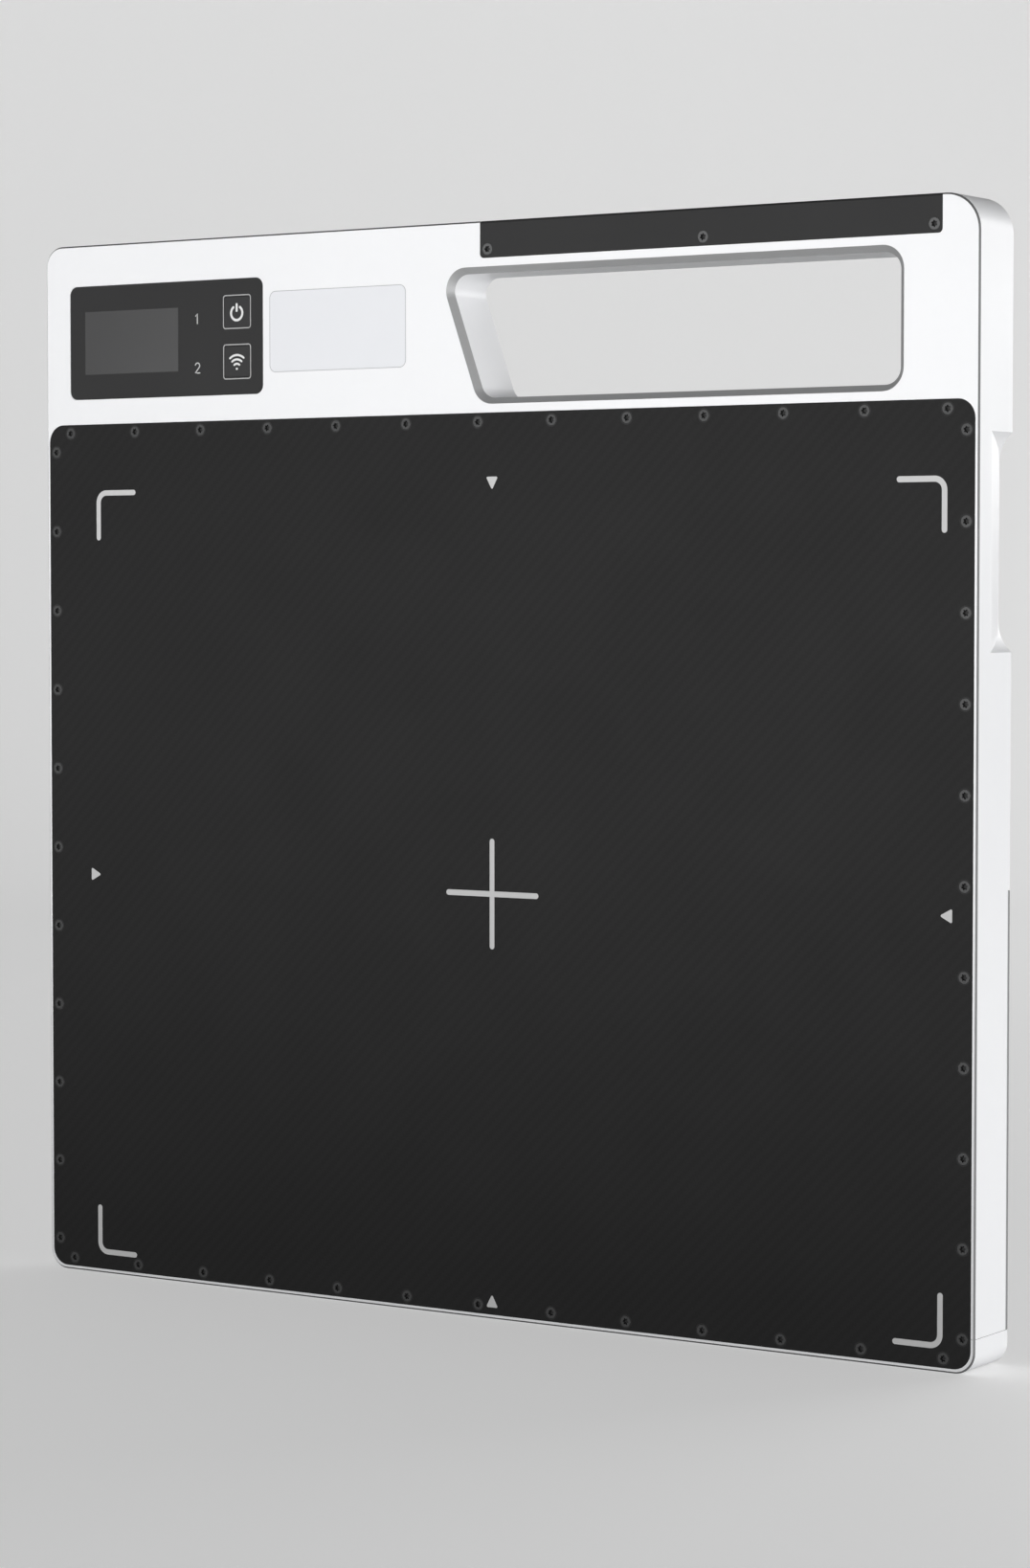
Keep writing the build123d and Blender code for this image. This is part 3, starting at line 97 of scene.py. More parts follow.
# Surface finishes
class Pattern(Enum):
    """The fine structure of a surface, each one a shared node group."""

    GRAIN = "surface_grain"
    TWILL = "twill_weave"
    BRUSHED = "brushed_lines"
    BOARD = "circuit_board"
    STRIPES = "cable_stripes"
    CELLS = "foam_cells"


@dataclass(frozen=True)
class Finish:
    """How one material looks.

    Attributes:
        colour: Linear colour of the surface.
        second: Linear colour that the pattern mixes in.
        share: How much of the second colour shows, from 0 to 1.
        rough: Lowest and highest roughness; broad handling marks move between them.
        pattern: Fine structure of the surface.
        size: Size of the fine structure in millimetres.
        depth: Depth of the fine structure in millimetres.
        metallic, specular, coat, sheen: Settings of the shader.
    """

    colour: tuple[float, float, float]
    second: tuple[float, float, float]
    share: float = 0.5
    rough: Pair = (0.5, 0.6)
    pattern: Pattern = Pattern.GRAIN
    size: float = 0.5
    depth: float = 0.01
    metallic: float = 0.0
    specular: float = 0.5
    coat: float = 0.0
    sheen: float = 0.0


class Surface(Enum):
    """Every finish of the object and of the floor."""

    PAINT = Finish((0.90, 0.905, 0.92), (0.86, 0.865, 0.88), 0.5, (0.30, 0.40),
                   Pattern.GRAIN, 0.55, 0.010)
    BARE_METAL = Finish((0.46, 0.463, 0.467), (0.36, 0.363, 0.367), 0.6, (0.50, 0.60),
                        Pattern.BRUSHED, 0.25, 0.004, metallic=0.55)
    # A darker copy of the bare metal for the outer bevels: painted shade on those edges.
    SHADED_EDGE_METAL = Finish((0.170, 0.171, 0.173), (0.140, 0.141, 0.143), 0.6, (0.50, 0.60),
                        Pattern.BRUSHED, 0.25, 0.004, metallic=0.3)
    REAR_METAL = Finish((0.37, 0.374, 0.38), (0.32, 0.324, 0.33), 0.5, (0.38, 0.50),
                        Pattern.GRAIN, 0.3, 0.006, metallic=0.4)
    # The lighter second colour on the upright tows is painted sheen: it stands in for their
    # reflection, which differs from that of the lying tows.
    CARBON = Finish((0.0104, 0.0104, 0.0105), (0.0134, 0.0134, 0.0136), 0.6, (0.50, 0.58),
                    Pattern.TWILL, 1.45, 0.006, specular=0.16)
    DARK_PLASTIC = Finish((0.0225, 0.0225, 0.023), (0.0275, 0.0275, 0.028),
                          size=0.35, depth=0.015, specular=0.22)
    DARK_STEEL = Finish((0.17, 0.17, 0.175), (0.12, 0.12, 0.125), 0.5, (0.34, 0.44),
                        Pattern.BRUSHED, 0.2, 0.003, metallic=0.9)
    BLACK_SCREW = Finish((0.046, 0.0465, 0.047), (0.038, 0.0385, 0.039), 0.5, (0.42, 0.50),
                         Pattern.BRUSHED, 0.2, 0.003, metallic=0.3, specular=0.35)
    GREY_SCREW = Finish((0.088, 0.089, 0.090), (0.074, 0.075, 0.076), 0.5, (0.42, 0.50),
                        Pattern.BRUSHED, 0.2, 0.003, metallic=0.3, specular=0.35)
    # Near black for the screws' sockets and seat gaps: painted shade.
    RECESS_SHADE = Finish((0.010, 0.010, 0.010), (0.006, 0.006, 0.006), 0.5, (0.6, 0.7), size=0.3)
    GLASS_COVER = Finish((0.067, 0.067, 0.068), (0.062, 0.062, 0.063), 0.4, (0.16, 0.22),
                         Pattern.GRAIN, 6.0, 0.002, specular=0.35, coat=0.25)
    DISPLAY = Finish((0.05, 0.052, 0.055), (0.04, 0.042, 0.045), 0.4, (0.3, 0.4), size=1.0)
    KEY = Finish((0.028, 0.028, 0.029), (0.034, 0.034, 0.035), 0.5, (0.52, 0.62),
                 Pattern.GRAIN, 0.3, 0.012, specular=0.26)
    PRINT = Finish((0.62, 0.62, 0.62), (0.55, 0.55, 0.55), size=0.3, depth=0.004)
    PRINT_BRIGHT = Finish((0.80, 0.80, 0.80), (0.74, 0.74, 0.74), size=0.3, depth=0.004)
    PRINT_THIN = Finish((0.42, 0.42, 0.42), (0.36, 0.36, 0.36), size=0.3, depth=0.004)
    LABEL = Finish((0.79, 0.80, 0.83), (0.77, 0.78, 0.81), 0.4, (0.30, 0.38),
                   Pattern.GRAIN, 1.2, 0.004)
    LABEL_EDGE = Finish((0.42, 0.42, 0.44), (0.38, 0.38, 0.40), 0.4, (0.5, 0.6), size=0.3)
    RUBBER = Finish((0.018, 0.018, 0.018), (0.026, 0.026, 0.026), 0.5, (0.66, 0.78),
                    Pattern.GRAIN, 0.4, 0.02, specular=0.3, sheen=0.15)
    FOAM = Finish((0.055, 0.055, 0.058), (0.02, 0.02, 0.022), 0.7, (0.8, 0.9),
                  Pattern.CELLS, 0.8, 0.15)
    PHOSPHOR = Finish((0.78, 0.80, 0.74), (0.70, 0.73, 0.66), 0.5, (0.6, 0.7),
                      Pattern.CELLS, 0.25, 0.01)
    SENSOR = Finish((0.03, 0.045, 0.06), (0.07, 0.06, 0.09), 0.5, (0.10, 0.16),
                    Pattern.STRIPES, 0.8, 0.002, coat=0.5)
    LEAD = Finish((0.14, 0.145, 0.155), (0.10, 0.105, 0.115), 0.6, (0.5, 0.65),
                  Pattern.GRAIN, 3.0, 0.05, metallic=0.8)
    CORE_BOARD = Finish((0.16, 0.15, 0.11), (0.12, 0.11, 0.08), 0.5, (0.4, 0.5),
                        Pattern.STRIPES, 1.2, 0.01)
    FLEX_FILM = Finish((0.50, 0.20, 0.035), (0.38, 0.13, 0.02), 0.7, (0.25, 0.35),
                       Pattern.STRIPES, 0.5, 0.01, coat=0.4)
    BOARD = Finish((0.012, 0.09, 0.035), (0.03, 0.17, 0.07), 0.7, (0.28, 0.38),
                   Pattern.BOARD, 2.4, 0.03, coat=0.3)
    CHIP = Finish((0.016, 0.016, 0.017), (0.024, 0.024, 0.025), size=0.3)
    TINNED = Finish((0.62, 0.62, 0.60), (0.52, 0.52, 0.50), 0.5, (0.25, 0.35),
                    Pattern.BRUSHED, 0.4, 0.004, metallic=1.0)
    CABLE = Finish((0.30, 0.30, 0.31), (0.20, 0.20, 0.21), 0.6, (0.5, 0.6),
                   Pattern.STRIPES, 0.6, 0.05)
    LEAD_WIRE = Finish((0.02, 0.02, 0.02), (0.03, 0.03, 0.03), 0.5, (0.4, 0.5), size=0.5)
    BATTERY = Finish((0.048, 0.048, 0.050), (0.060, 0.060, 0.062),
                     size=0.45, depth=0.02, specular=0.45)
    CELL_FOIL = Finish((0.55, 0.56, 0.58), (0.45, 0.46, 0.48), 0.6, (0.3, 0.42),
                       Pattern.GRAIN, 4.0, 0.05, metallic=0.9)
    GOLD = Finish((0.78, 0.55, 0.20), (0.66, 0.44, 0.14), 0.5, (0.2, 0.3),
                  Pattern.BRUSHED, 0.2, 0.002, metallic=1.0)
    FLOOR = Finish((0.62, 0.62, 0.62), (0.60, 0.60, 0.60), 0.5, (0.7, 0.8), size=3.0, depth=0.02,
                   specular=0.2)


SLOT_FINISH = {
    "body_paint": Surface.PAINT,
    "carbon_laminate": Surface.CARBON,
    "dark_steel": Surface.DARK_STEEL,
    "dark_plastic": Surface.DARK_PLASTIC,
    "display_glass": Surface.GLASS_COVER,
    "display_dark": Surface.DISPLAY,
    "key_rubber": Surface.KEY,
    "label_film": Surface.LABEL,
    "rear_metal": Surface.REAR_METAL,
    "seal_rubber": Surface.RUBBER,
    "foam": Surface.FOAM,
    "phosphor": Surface.PHOSPHOR,
    "sensor": Surface.SENSOR,
    "lead": Surface.LEAD,
    "core_board": Surface.CORE_BOARD,
    "polyimide": Surface.FLEX_FILM,
    "circuit_board": Surface.BOARD,
    "chip_black": Surface.CHIP,
    "tinned_steel": Surface.TINNED,
    "cable_grey": Surface.CABLE,
    "lead_black": Surface.LEAD_WIRE,
    "battery_shell": Surface.BATTERY,
    "cell_foil": Surface.CELL_FOIL,
    "gold_contact": Surface.GOLD,
}


class Tree:
    """Adds nodes to one node tree and joins them."""

    def __init__(self, tree: bpy.types.NodeTree, empty: bool = True) -> None:
        """Starts on a node tree, which loses its nodes unless empty is False."""
        self.tree = tree
        if empty:
            tree.nodes.clear()

    def add(self, kind: str, inputs: dict | None = None, **settings: Any) -> bpy.types.Node:
        """Adds a node.

        Args:
            kind: Name of the node type.
            inputs: Values or output sockets by the name or number of the input.
            settings: Properties of the node.

        Returns:
            The new node.
        """
        node = self.tree.nodes.new(kind)
        for name, value in settings.items():
            setattr(node, name, value)
        for key, value in (inputs or {}).items():
            self.feed(node.inputs[key], value)
        return node

    def feed(self, socket: Socket, value: Any) -> None:
        """Feeds one input.

        Args:
            socket: The input.
            value: An output to link to it, or else its value.
        """
        if isinstance(value, Socket):
            self.tree.links.new(value, socket)
        else:
            socket.default_value = value

    def maths(self, operation: str, *values: Any) -> Socket:
        """Result of one operation on numbers or outputs."""
        node = self.add("ShaderNodeMath", dict(enumerate(values)), operation=operation)
        return node.outputs[0]

    def parts_of(self, vector: Socket) -> list[Socket]:
        """The three numbers of a vector."""
        return list(self.add("ShaderNodeSeparateXYZ", {0: vector}).outputs)

    def vector_of(self, *values: Any) -> Socket:
        """A vector from three numbers or outputs."""
        return self.add("ShaderNodeCombineXYZ", dict(enumerate(values))).outputs[0]

    def noise(self, vector: Socket, scale: Any, detail: float = 2.0) -> Socket:
        """Cloudy values from 0 to 1."""
        inputs = {"Vector": vector, "Scale": scale, "Detail": detail}
        return self.add("ShaderNodeTexNoise", inputs).outputs["Fac"]

    def round_top(self, ways: Socket) -> Socket:
        """Height of threads side by side: 1 - (2 f - 1) squared, f being the way across one."""
        offset = self.maths("MULTIPLY_ADD", self.maths("FRACT", ways), 2.0, -1.0)
        return self.maths("SUBTRACT", 1.0, self.maths("MULTIPLY", offset, offset))


class PatternTree(Tree):
    """Shared node group of a pattern: turns a place, a size and a depth into a mask and a normal.

    Each pattern's method returns its mask and its height. The scale is how many sizes make a metre.
    """

    BROAD = 0.12  # scale of the grain's broad clouds, as a share of the fine ones'
    TOW_SHADE = 60.0  # scale of the shades of the weave
    STRETCH = 0.04  # scale of brushed lines along x
    JITTER = 0.85  # how unevenly the cells of a circuit board lie
    TRACK = 0.16  # share of a board that its tracks take
    LEAN = 0.02  # how far lines side by side lean along z
    LINE = 0.45  # height above which a line shows

    def __init__(self, pattern: Pattern) -> None:
        """Makes the group with its sockets, its pattern and its bump.

        Args:
            pattern: The pattern.
        """
        super().__init__(bpy.data.node_groups.new(pattern.value, "ShaderNodeTree"))
        for name, way, kind in (("Place", "INPUT", "Vector"), ("Size", "INPUT", "Float"),
                                ("Depth", "INPUT", "Float"), ("Mask", "OUTPUT", "Float"),
                                ("Normal", "OUTPUT", "Vector")):
            self.tree.interface.new_socket(name=name, in_out=way, socket_type="NodeSocket" + kind)
        source = self.add("NodeGroupInput").outputs
        self.place = source["Place"]
        self.scale = self.maths("DIVIDE", 1.0, source["Size"])
        mask, height = {Pattern.GRAIN: self.grain, Pattern.TWILL: self.twill,
                        Pattern.BRUSHED: self.brushed, Pattern.BOARD: self.board,
                        Pattern.STRIPES: self.stripes, Pattern.CELLS: self.cells}[pattern]()
        inputs = {"Strength": 1.0, "Distance": source["Depth"], "Height": height}
        bump = self.add("ShaderNodeBump", inputs).outputs[0]
        self.add("NodeGroupOutput", {"Mask": mask, "Normal": bump})

    def grain(self) -> tuple[Socket, Socket]:
        """Fine moulded or sprayed grain: cloudy noise about one size across, half of it broad."""
        fine = self.noise(self.place, self.scale)
        broad = self.noise(self.place, self.maths("MULTIPLY", self.BROAD, self.scale))
        mixed = self.maths("MULTIPLY_ADD", broad, 0.5, self.maths("MULTIPLY", fine, 0.5))
        return mixed, fine

    def twill(self) -> tuple[Socket, Socket]:
        """Two-by-two twill: a round tow is on top where (column - row) modulo 4 is under 2."""
        x, _, z = self.parts_of(self.place)
        across, along = (self.maths("MULTIPLY", value, self.scale) for value in (x, z))
        column, row = (self.maths("FLOOR", value) for value in (across, along))
        step = self.maths("FLOORED_MODULO", self.maths("SUBTRACT", column, row), 4.0)
        upright = self.maths("LESS_THAN", step, 1.5)
        inputs = {"Factor": upright, "A": self.round_top(along), "B": self.round_top(across)}
        height = self.add("ShaderNodeMix", inputs).outputs[0]
        shades = self.noise(self.place, self.TOW_SHADE, 3.0)
        return self.maths("ADD", upright, self.maths("MULTIPLY_ADD", shades, 0.5, -0.25)), height

    def brushed(self) -> tuple[Socket, Socket]:
        """Fine lines along x from drawing or turning: noise drawn out along x."""
        x, y, z = self.parts_of(self.place)
        drawn = self.vector_of(self.maths("MULTIPLY", x, self.STRETCH), y, z)
        fine = self.noise(drawn, self.scale, 3.0)
        return fine, fine

    def board(self) -> tuple[Socket, Socket]:
        """Copper tracks and lands under green lacquer: bands round the middles of square cells."""
        inputs = {"Vector": self.place, "Scale": self.scale, "Randomness": self.JITTER}
        cells = self.add("ShaderNodeTexVoronoi", inputs, feature="F1", distance="CHEBYCHEV")
        bands = self.maths("MULTIPLY", cells.outputs["Distance"], 3.0)
        tracks = self.maths("LESS_THAN", self.maths("PINGPONG", bands, 0.5), self.TRACK)
        return tracks, tracks

    def stripes(self) -> tuple[Socket, Socket]:
        """Parallel wires or lines side by side across x, each one round across its width."""
        x, _, z = self.parts_of(self.place)
        ways = self.maths("MULTIPLY", self.maths("MULTIPLY_ADD", z, self.LEAN, x), self.scale)
        height = self.round_top(ways)
        return self.maths("GREATER_THAN", height, self.LINE), height

    def cells(self) -> tuple[Socket, Socket]:
        """Small round cells or grains pressed together: the distance to the nearest middle."""
        inputs = {"Vector": self.place, "Scale": self.scale}
        near = self.add("ShaderNodeTexVoronoi", inputs, feature="F1").outputs["Distance"]
        return near, near


class Paintbox:
    """Makes each finish's material and each pattern's node group, on first use."""

    MARKS_SCALE = 22.0  # of the handling marks that change the roughness

    @cache
    def group(self, pattern: Pattern) -> bpy.types.NodeTree:
        """The node group of a pattern."""
        return PatternTree(pattern).tree

    @cache
    def get(self, surface: Surface) -> bpy.types.Material:
        """A material: two colours mixed by the pattern, and roughness by broad handling marks.

        Args:
            surface: Its finish.

        Returns:
            The material.
        """
        finish = surface.value
        material = bpy.data.materials.new(surface.name.lower())
        material.use_nodes = True
        nodes = Tree(material.node_tree)
        place = nodes.add("ShaderNodeTexCoord").outputs["Object"]
        inputs = {"Place": place, "Size": finish.size * MM, "Depth": finish.depth * MM}
        group = nodes.add("ShaderNodeGroup", node_tree=self.group(finish.pattern))
        for name, value in inputs.items():
            nodes.feed(group.inputs[name], value)
        amount = nodes.maths("MULTIPLY", group.outputs["Mask"], finish.share)
        mixed = nodes.add("ShaderNodeMix", data_type="RGBA")
        colours = {"Factor": amount, "A": (*finish.colour, 1.0), "B": (*finish.second, 1.0)}
        for name, value in colours.items():
            socket = next(s for s in mixed.inputs if s.name == name and s.enabled)
            nodes.feed(socket, value)
        low, high = finish.rough
        marks = nodes.noise(place, self.MARKS_SCALE, 3.0)
        shader = nodes.add("ShaderNodeBsdfPrincipled", {
            "Base Color": next(s for s in mixed.outputs if s.enabled),
            "Roughness": nodes.maths("MULTIPLY_ADD", marks, high - low, low),
            "Normal": group.outputs["Normal"],
            "Metallic": finish.metallic,
            "Specular IOR Level": finish.specular,
            "Coat Weight": finish.coat,
            "Sheen Weight": finish.sheen,
        })
        nodes.add("ShaderNodeOutputMaterial", {"Surface": shader.outputs[0]})
        return material


PAINTS = Paintbox()


# Flat outlines, as rows of (x, z)
def arc(centre: tuple, radius: float, start: float, end: float, steps: int) -> Array:
    """Points on a circle: centre + radius (cos a, sin a), with a from start to end in degrees."""
    angles = np.radians(np.linspace(start, end, steps))
    return np.column_stack([np.cos(angles), np.sin(angles)]) * radius + centre


def turned(points: Array, degrees: float) -> Array:
    """Points turned about the origin: rows times ((cos, sin), (-sin, cos)) of the angle."""
    cos, sin = math.cos(math.radians(degrees)), math.sin(math.radians(degrees))
    return points @ np.array([[cos, sin], [-sin, cos]])


def rounded(corners: list, radius: float, steps: int = 7) -> Array:
    """A closed outline with round corners.

    Each corner's arc touches both sides at radius / tan(half the corner's angle) from the corner.

    Args:
        corners: Corners of the outline, in turn.
        radius: Radius of the corners.
        steps: Points on each arc.

    Returns:
        The outline's points, closed by its first point implied.
    """
    points = np.array(corners, float)
    before, after = np.roll(points, 1, 0) - points, np.roll(points, -1, 0) - points
    before /= np.linalg.norm(before, axis=1, keepdims=True)
    after /= np.linalg.norm(after, axis=1, keepdims=True)
    half = np.arccos(np.clip((before * after).sum(1), -1, 1)) / 2
    middle = before + after
    middle /= np.linalg.norm(middle, axis=1, keepdims=True)
    centres = points + middle * (radius / np.sin(half))[:, None]
    starts = points + before * (radius / np.tan(half))[:, None] - centres
    ends = points + after * (radius / np.tan(half))[:, None] - centres
    share = np.linspace(0, 1, steps)[None, :, None]
    chords = starts[:, None] * (1 - share) + ends[:, None] * share
    chords *= radius / np.linalg.norm(chords, axis=2, keepdims=True)
    return (centres[:, None] + chords).reshape(-1, 2)


def box_outline(x0: float, x1: float, z0: float, z1: float, radius: float) -> Array:
    """Outline of a rectangle with round corners."""
    return rounded([(x0, z0), (x1, z0), (x1, z1), (x0, z1)], radius)


# Meshes
def add_object(name: str, data: bpy.types.ID) -> Object:
    """Puts a new object into the scene.

    Args:
        name, data: Its name, and its mesh, lamp or camera.

    Returns:
        The object.
    """
    item = bpy.data.objects.new(name, data)
    bpy.context.scene.collection.objects.link(item)
    return item


def grid_faces(rows: int, columns: int, closed: bool) -> Array:
    """Quads between neighbouring points of a grid.

    Args:
        rows, columns: Points in the grid each way.
        closed: True to join the last column to the first.

    Returns:
        Rows of four point numbers.
    """
    row, column = np.meshgrid(np.arange(rows - 1), np.arange(columns if closed else columns - 1),
                              indexing="ij")
    after = (column + 1) % columns
    quads = [row * columns + column, row * columns + after,
             (row + 1) * columns + after, (row + 1) * columns + column]
    return np.stack(quads, -1).reshape(-1, 4)


def make_piece(name: str, shape: Shape, surfaces: list[Surface], body: str = "body",
               choice: Array | None = None) -> Object:
    """Makes a closed mesh piece that rides on a body.

    Args:
        name: Name of the piece.
        shape: Its points and faces.
        surfaces: Finishes of the piece.
        body: The body that it rides on.
        choice: Number of the finish of each face, or None for the first.

    Returns:
        The new object.
    """
    mesh = bpy.data.meshes.new(name)
    mesh.from_pydata((shape[0] * MM).tolist(), [], shape[1])
    if choice is not None:
        mesh.polygons.foreach_set("material_index", choice.astype(np.int32))
    return finish_piece(name, mesh, surfaces, body, PIECE_CREASE)


def finish_piece(name: str, mesh: bpy.types.Mesh, surfaces: list[Surface], body: str,
                 crease: float) -> Object:
    """Turns faces outward, sets smoothing and finishes, and lets the piece ride on its body.

    Args:
        name, mesh: The piece's name and its mesh.
        surfaces: Finishes of the piece.
        body: The body that it rides on.
        crease: Edges sharper than this many degrees stay sharp.

    Returns:
        The new object.
    """
    loose = bmesh.new()
    loose.from_mesh(mesh)
    bmesh.ops.recalc_face_normals(loose, faces=loose.faces)
    loose.to_mesh(mesh)
    loose.free()
    mesh.shade_smooth()
    mesh.set_sharp_from_angle(angle=math.radians(crease))
    for surface in surfaces:
        mesh.materials.append(PAINTS.get(surface))
    piece = add_object(name, mesh)
    piece.modifiers.new("weigh", "WEIGHTED_NORMAL").keep_sharp = True
    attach(piece, body)
    log.info("made %s, %d faces", name, len(mesh.polygons))
    return piece


def joined(parts: list[Shape]) -> Shape:
    """Points and faces of several shapes as one: each one's point numbers follow the last one's.

    Args:
        parts: The shapes.

    Returns:
        All of them as one shape.
    """
    points, faces, start = [], [], 0
    for part_points, part_faces in parts:
        points.append(part_points)
        faces += [[number + start for number in face] for face in part_faces]
        start += len(part_points)
    return np.concatenate(points), faces


def printed(front: float) -> Pair:
    """Front and back of the ink on a surface at that depth."""
    return front - PRINT_PROUD, front + PRINT_SUNK


def outline_slab(outline: Array, y0: float, y1: float) -> Shape:
    """Closed slab with an outline seen from the front: the outline at both depths, and the sides.

    Args:
        outline: Its points, x and z.
        y0, y1: Depth of the front and of the back.

    Returns:
        The slab.
    """
    count = len(outline)
    rings = [np.insert(outline, 1, y, axis=1) for y in (y0, y1)]
    faces = grid_faces(2, count, True).tolist()
    faces += [list(range(count)), list(range(count, 2 * count))[::-1]]
    return np.concatenate(rings), faces


def ribbon_slab(path: Array, width: float, y0: float, y1: float, closed: bool = False,
                steps: int = 6) -> Shape:
    """Closed slab along a path: a printed stroke with round ends, or a closed line.

    A round end is a half circle: at d beyond the path's end its half width is
    the square root of (width / 2) squared - d squared.

    Args:
        path: Points of the centre line, x and z.
        width: Width of the stroke.
        y0, y1: Depth of the front and of the back.
        closed: True if the path's end joins its start.
        steps: Rows of points in each round end.

    Returns:
        The slab.
    """
    if closed:
        along = np.roll(path, -1, 0) - np.roll(path, 1, 0)
    else:
        along = np.gradient(path, axis=0)
    along /= np.linalg.norm(along, axis=1, keepdims=True)
    half = np.full(len(path), width / 2)
    if not closed:
        turn = np.linspace(0, np.pi / 2, steps + 1)[1:] * ROUND_END
        reach, narrow = np.sin(turn) * width / 2, np.cos(turn) * width / 2
        head = path[0] - along[0] * reach[::-1, None]
        tail = path[-1] + along[-1] * reach[:, None]
        path = np.concatenate([head, path, tail])
        ends = [np.tile(along[end], (steps, 1)) for end in (0, -1)]
        along = np.concatenate([ends[0], along, ends[1]])
        half = np.concatenate([narrow[::-1], half, narrow])
    side = np.column_stack([-along[:, 1], along[:, 0]]) * half[:, None]
    corners = [np.insert(path + side * way, 1, y, axis=1)
               for way, y in ((1, y0), (-1, y0), (-1, y1), (1, y1))]
    points = np.stack(corners, 1).reshape(-1, 3)
    rows = len(path)
    faces = grid_faces(rows, 4, True).tolist()
    if closed:
        last, first = np.arange(4) + 4 * (rows - 1), np.arange(4)
        faces += np.stack([last, np.roll(last, -1), np.roll(first, -1), first], -1).tolist()
    else:
        faces += [[0, 1, 2, 3], [4 * rows - 1, 4 * rows - 2, 4 * rows - 3, 4 * rows - 4]]
    return points, faces


def part_boxes(node: str) -> tuple[Array, Array]:
    """Lowest and highest corners of each separate part of a CAD node, in millimetres.

    Points in one place count as one. Each point then takes the lowest number among its neighbours
    until nothing changes, so that every part ends with one number.

    Args:
        node: Name of the CAD node.

    Returns:
        Lowest corners and highest corners, one row for each part.
    """
    mesh = frame["nodes"][node].data
    points = np.empty(len(mesh.vertices) * 3)
    mesh.vertices.foreach_get("co", points)
    points = points.reshape(-1, 3) / MM
    edges = np.empty(len(mesh.edges) * 2, int)
    mesh.edges.foreach_get("vertices", edges)
    _, same = np.unique(np.round(points, 3), axis=0, return_inverse=True)
    same = same.ravel()
    edges = same[edges].reshape(-1, 2)
    label = np.arange(same.max() + 1)
    while True:
        lowest = label.copy()
        shared = np.minimum(label[edges[:, 0]], label[edges[:, 1]])
        np.minimum.at(lowest, edges[:, 0], shared)
        np.minimum.at(lowest, edges[:, 1], shared)
        if (lowest == label).all():
            break
        label = lowest
    names = np.unique(label)
    owner = np.searchsorted(names, label[same])
    low = np.full((len(names), 3), np.inf)
    high = -low
    np.minimum.at(low, owner, points)
    np.maximum.at(high, owner, points)
    return low, high


def cad_copy(node: str, name: str, surfaces: list[Surface],
             bevel: float = 0.0) -> Object:
    """A merged, smoothed copy of a CAD node that stands for it.

    Args:
        node: Name of the CAD node.
        name: Name of the new piece.
        surfaces: Finishes; the first one covers all faces.
        bevel: Width of the small rounding on sharp edges, in millimetres.

    Returns:
        The new object.
    """
    source = frame["nodes"][node]
    mesh = source.data.copy()
    mesh.name = name
    mesh.materials.clear()
    if "custom_normal" in mesh.attributes:
        mesh.attributes.remove(mesh.attributes["custom_normal"])
    loose = bmesh.new()
    loose.from_mesh(mesh)
    bmesh.ops.remove_doubles(loose, verts=loose.verts, dist=MERGE)
    if bevel:
        bmesh.ops.dissolve_limit(loose, angle_limit=math.radians(FLAT), verts=loose.verts,
                                 edges=loose.edges, use_dissolve_boundaries=False, delimit=set())
    loose.to_mesh(mesh)
    loose.free()
    body = next(key for key, empty in frame["bodies"].items() if empty == source.parent)
    piece = finish_piece(name, mesh, surfaces, body, CAD_CREASE)
    if bevel:
        round_off = piece.modifiers.new("round_off", "BEVEL")
        round_off.width = bevel * MM
        round_off.segments = 2
        round_off.limit_method = "ANGLE"
        round_off.angle_limit = math.radians(CAD_CREASE)
        round_off.harden_normals = False
        piece.modifiers.move(len(piece.modifiers) - 1, 0)
    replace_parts(piece, node)
    return piece


def paint_faces(piece: Object, number: int, choose: Callable) -> None:
    """Gives faces another finish.

    Args:
        piece: The piece to change.
        number: Number of the finish.
        choose: Function of face centres (millimetres) and normals that says which faces get it.
    """
    mesh = piece.data
    count = len(mesh.polygons)
    centres, normals = np.empty(count * 3), np.empty(count * 3)
    mesh.polygons.foreach_get("center", centres)
    mesh.polygons.foreach_get("normal", normals)
    index = np.empty(count, np.int32)
    mesh.polygons.foreach_get("material_index", index)
    index[choose(centres.reshape(-1, 3) / MM, normals.reshape(-1, 3))] = number
    mesh.polygons.foreach_set("material_index", index)


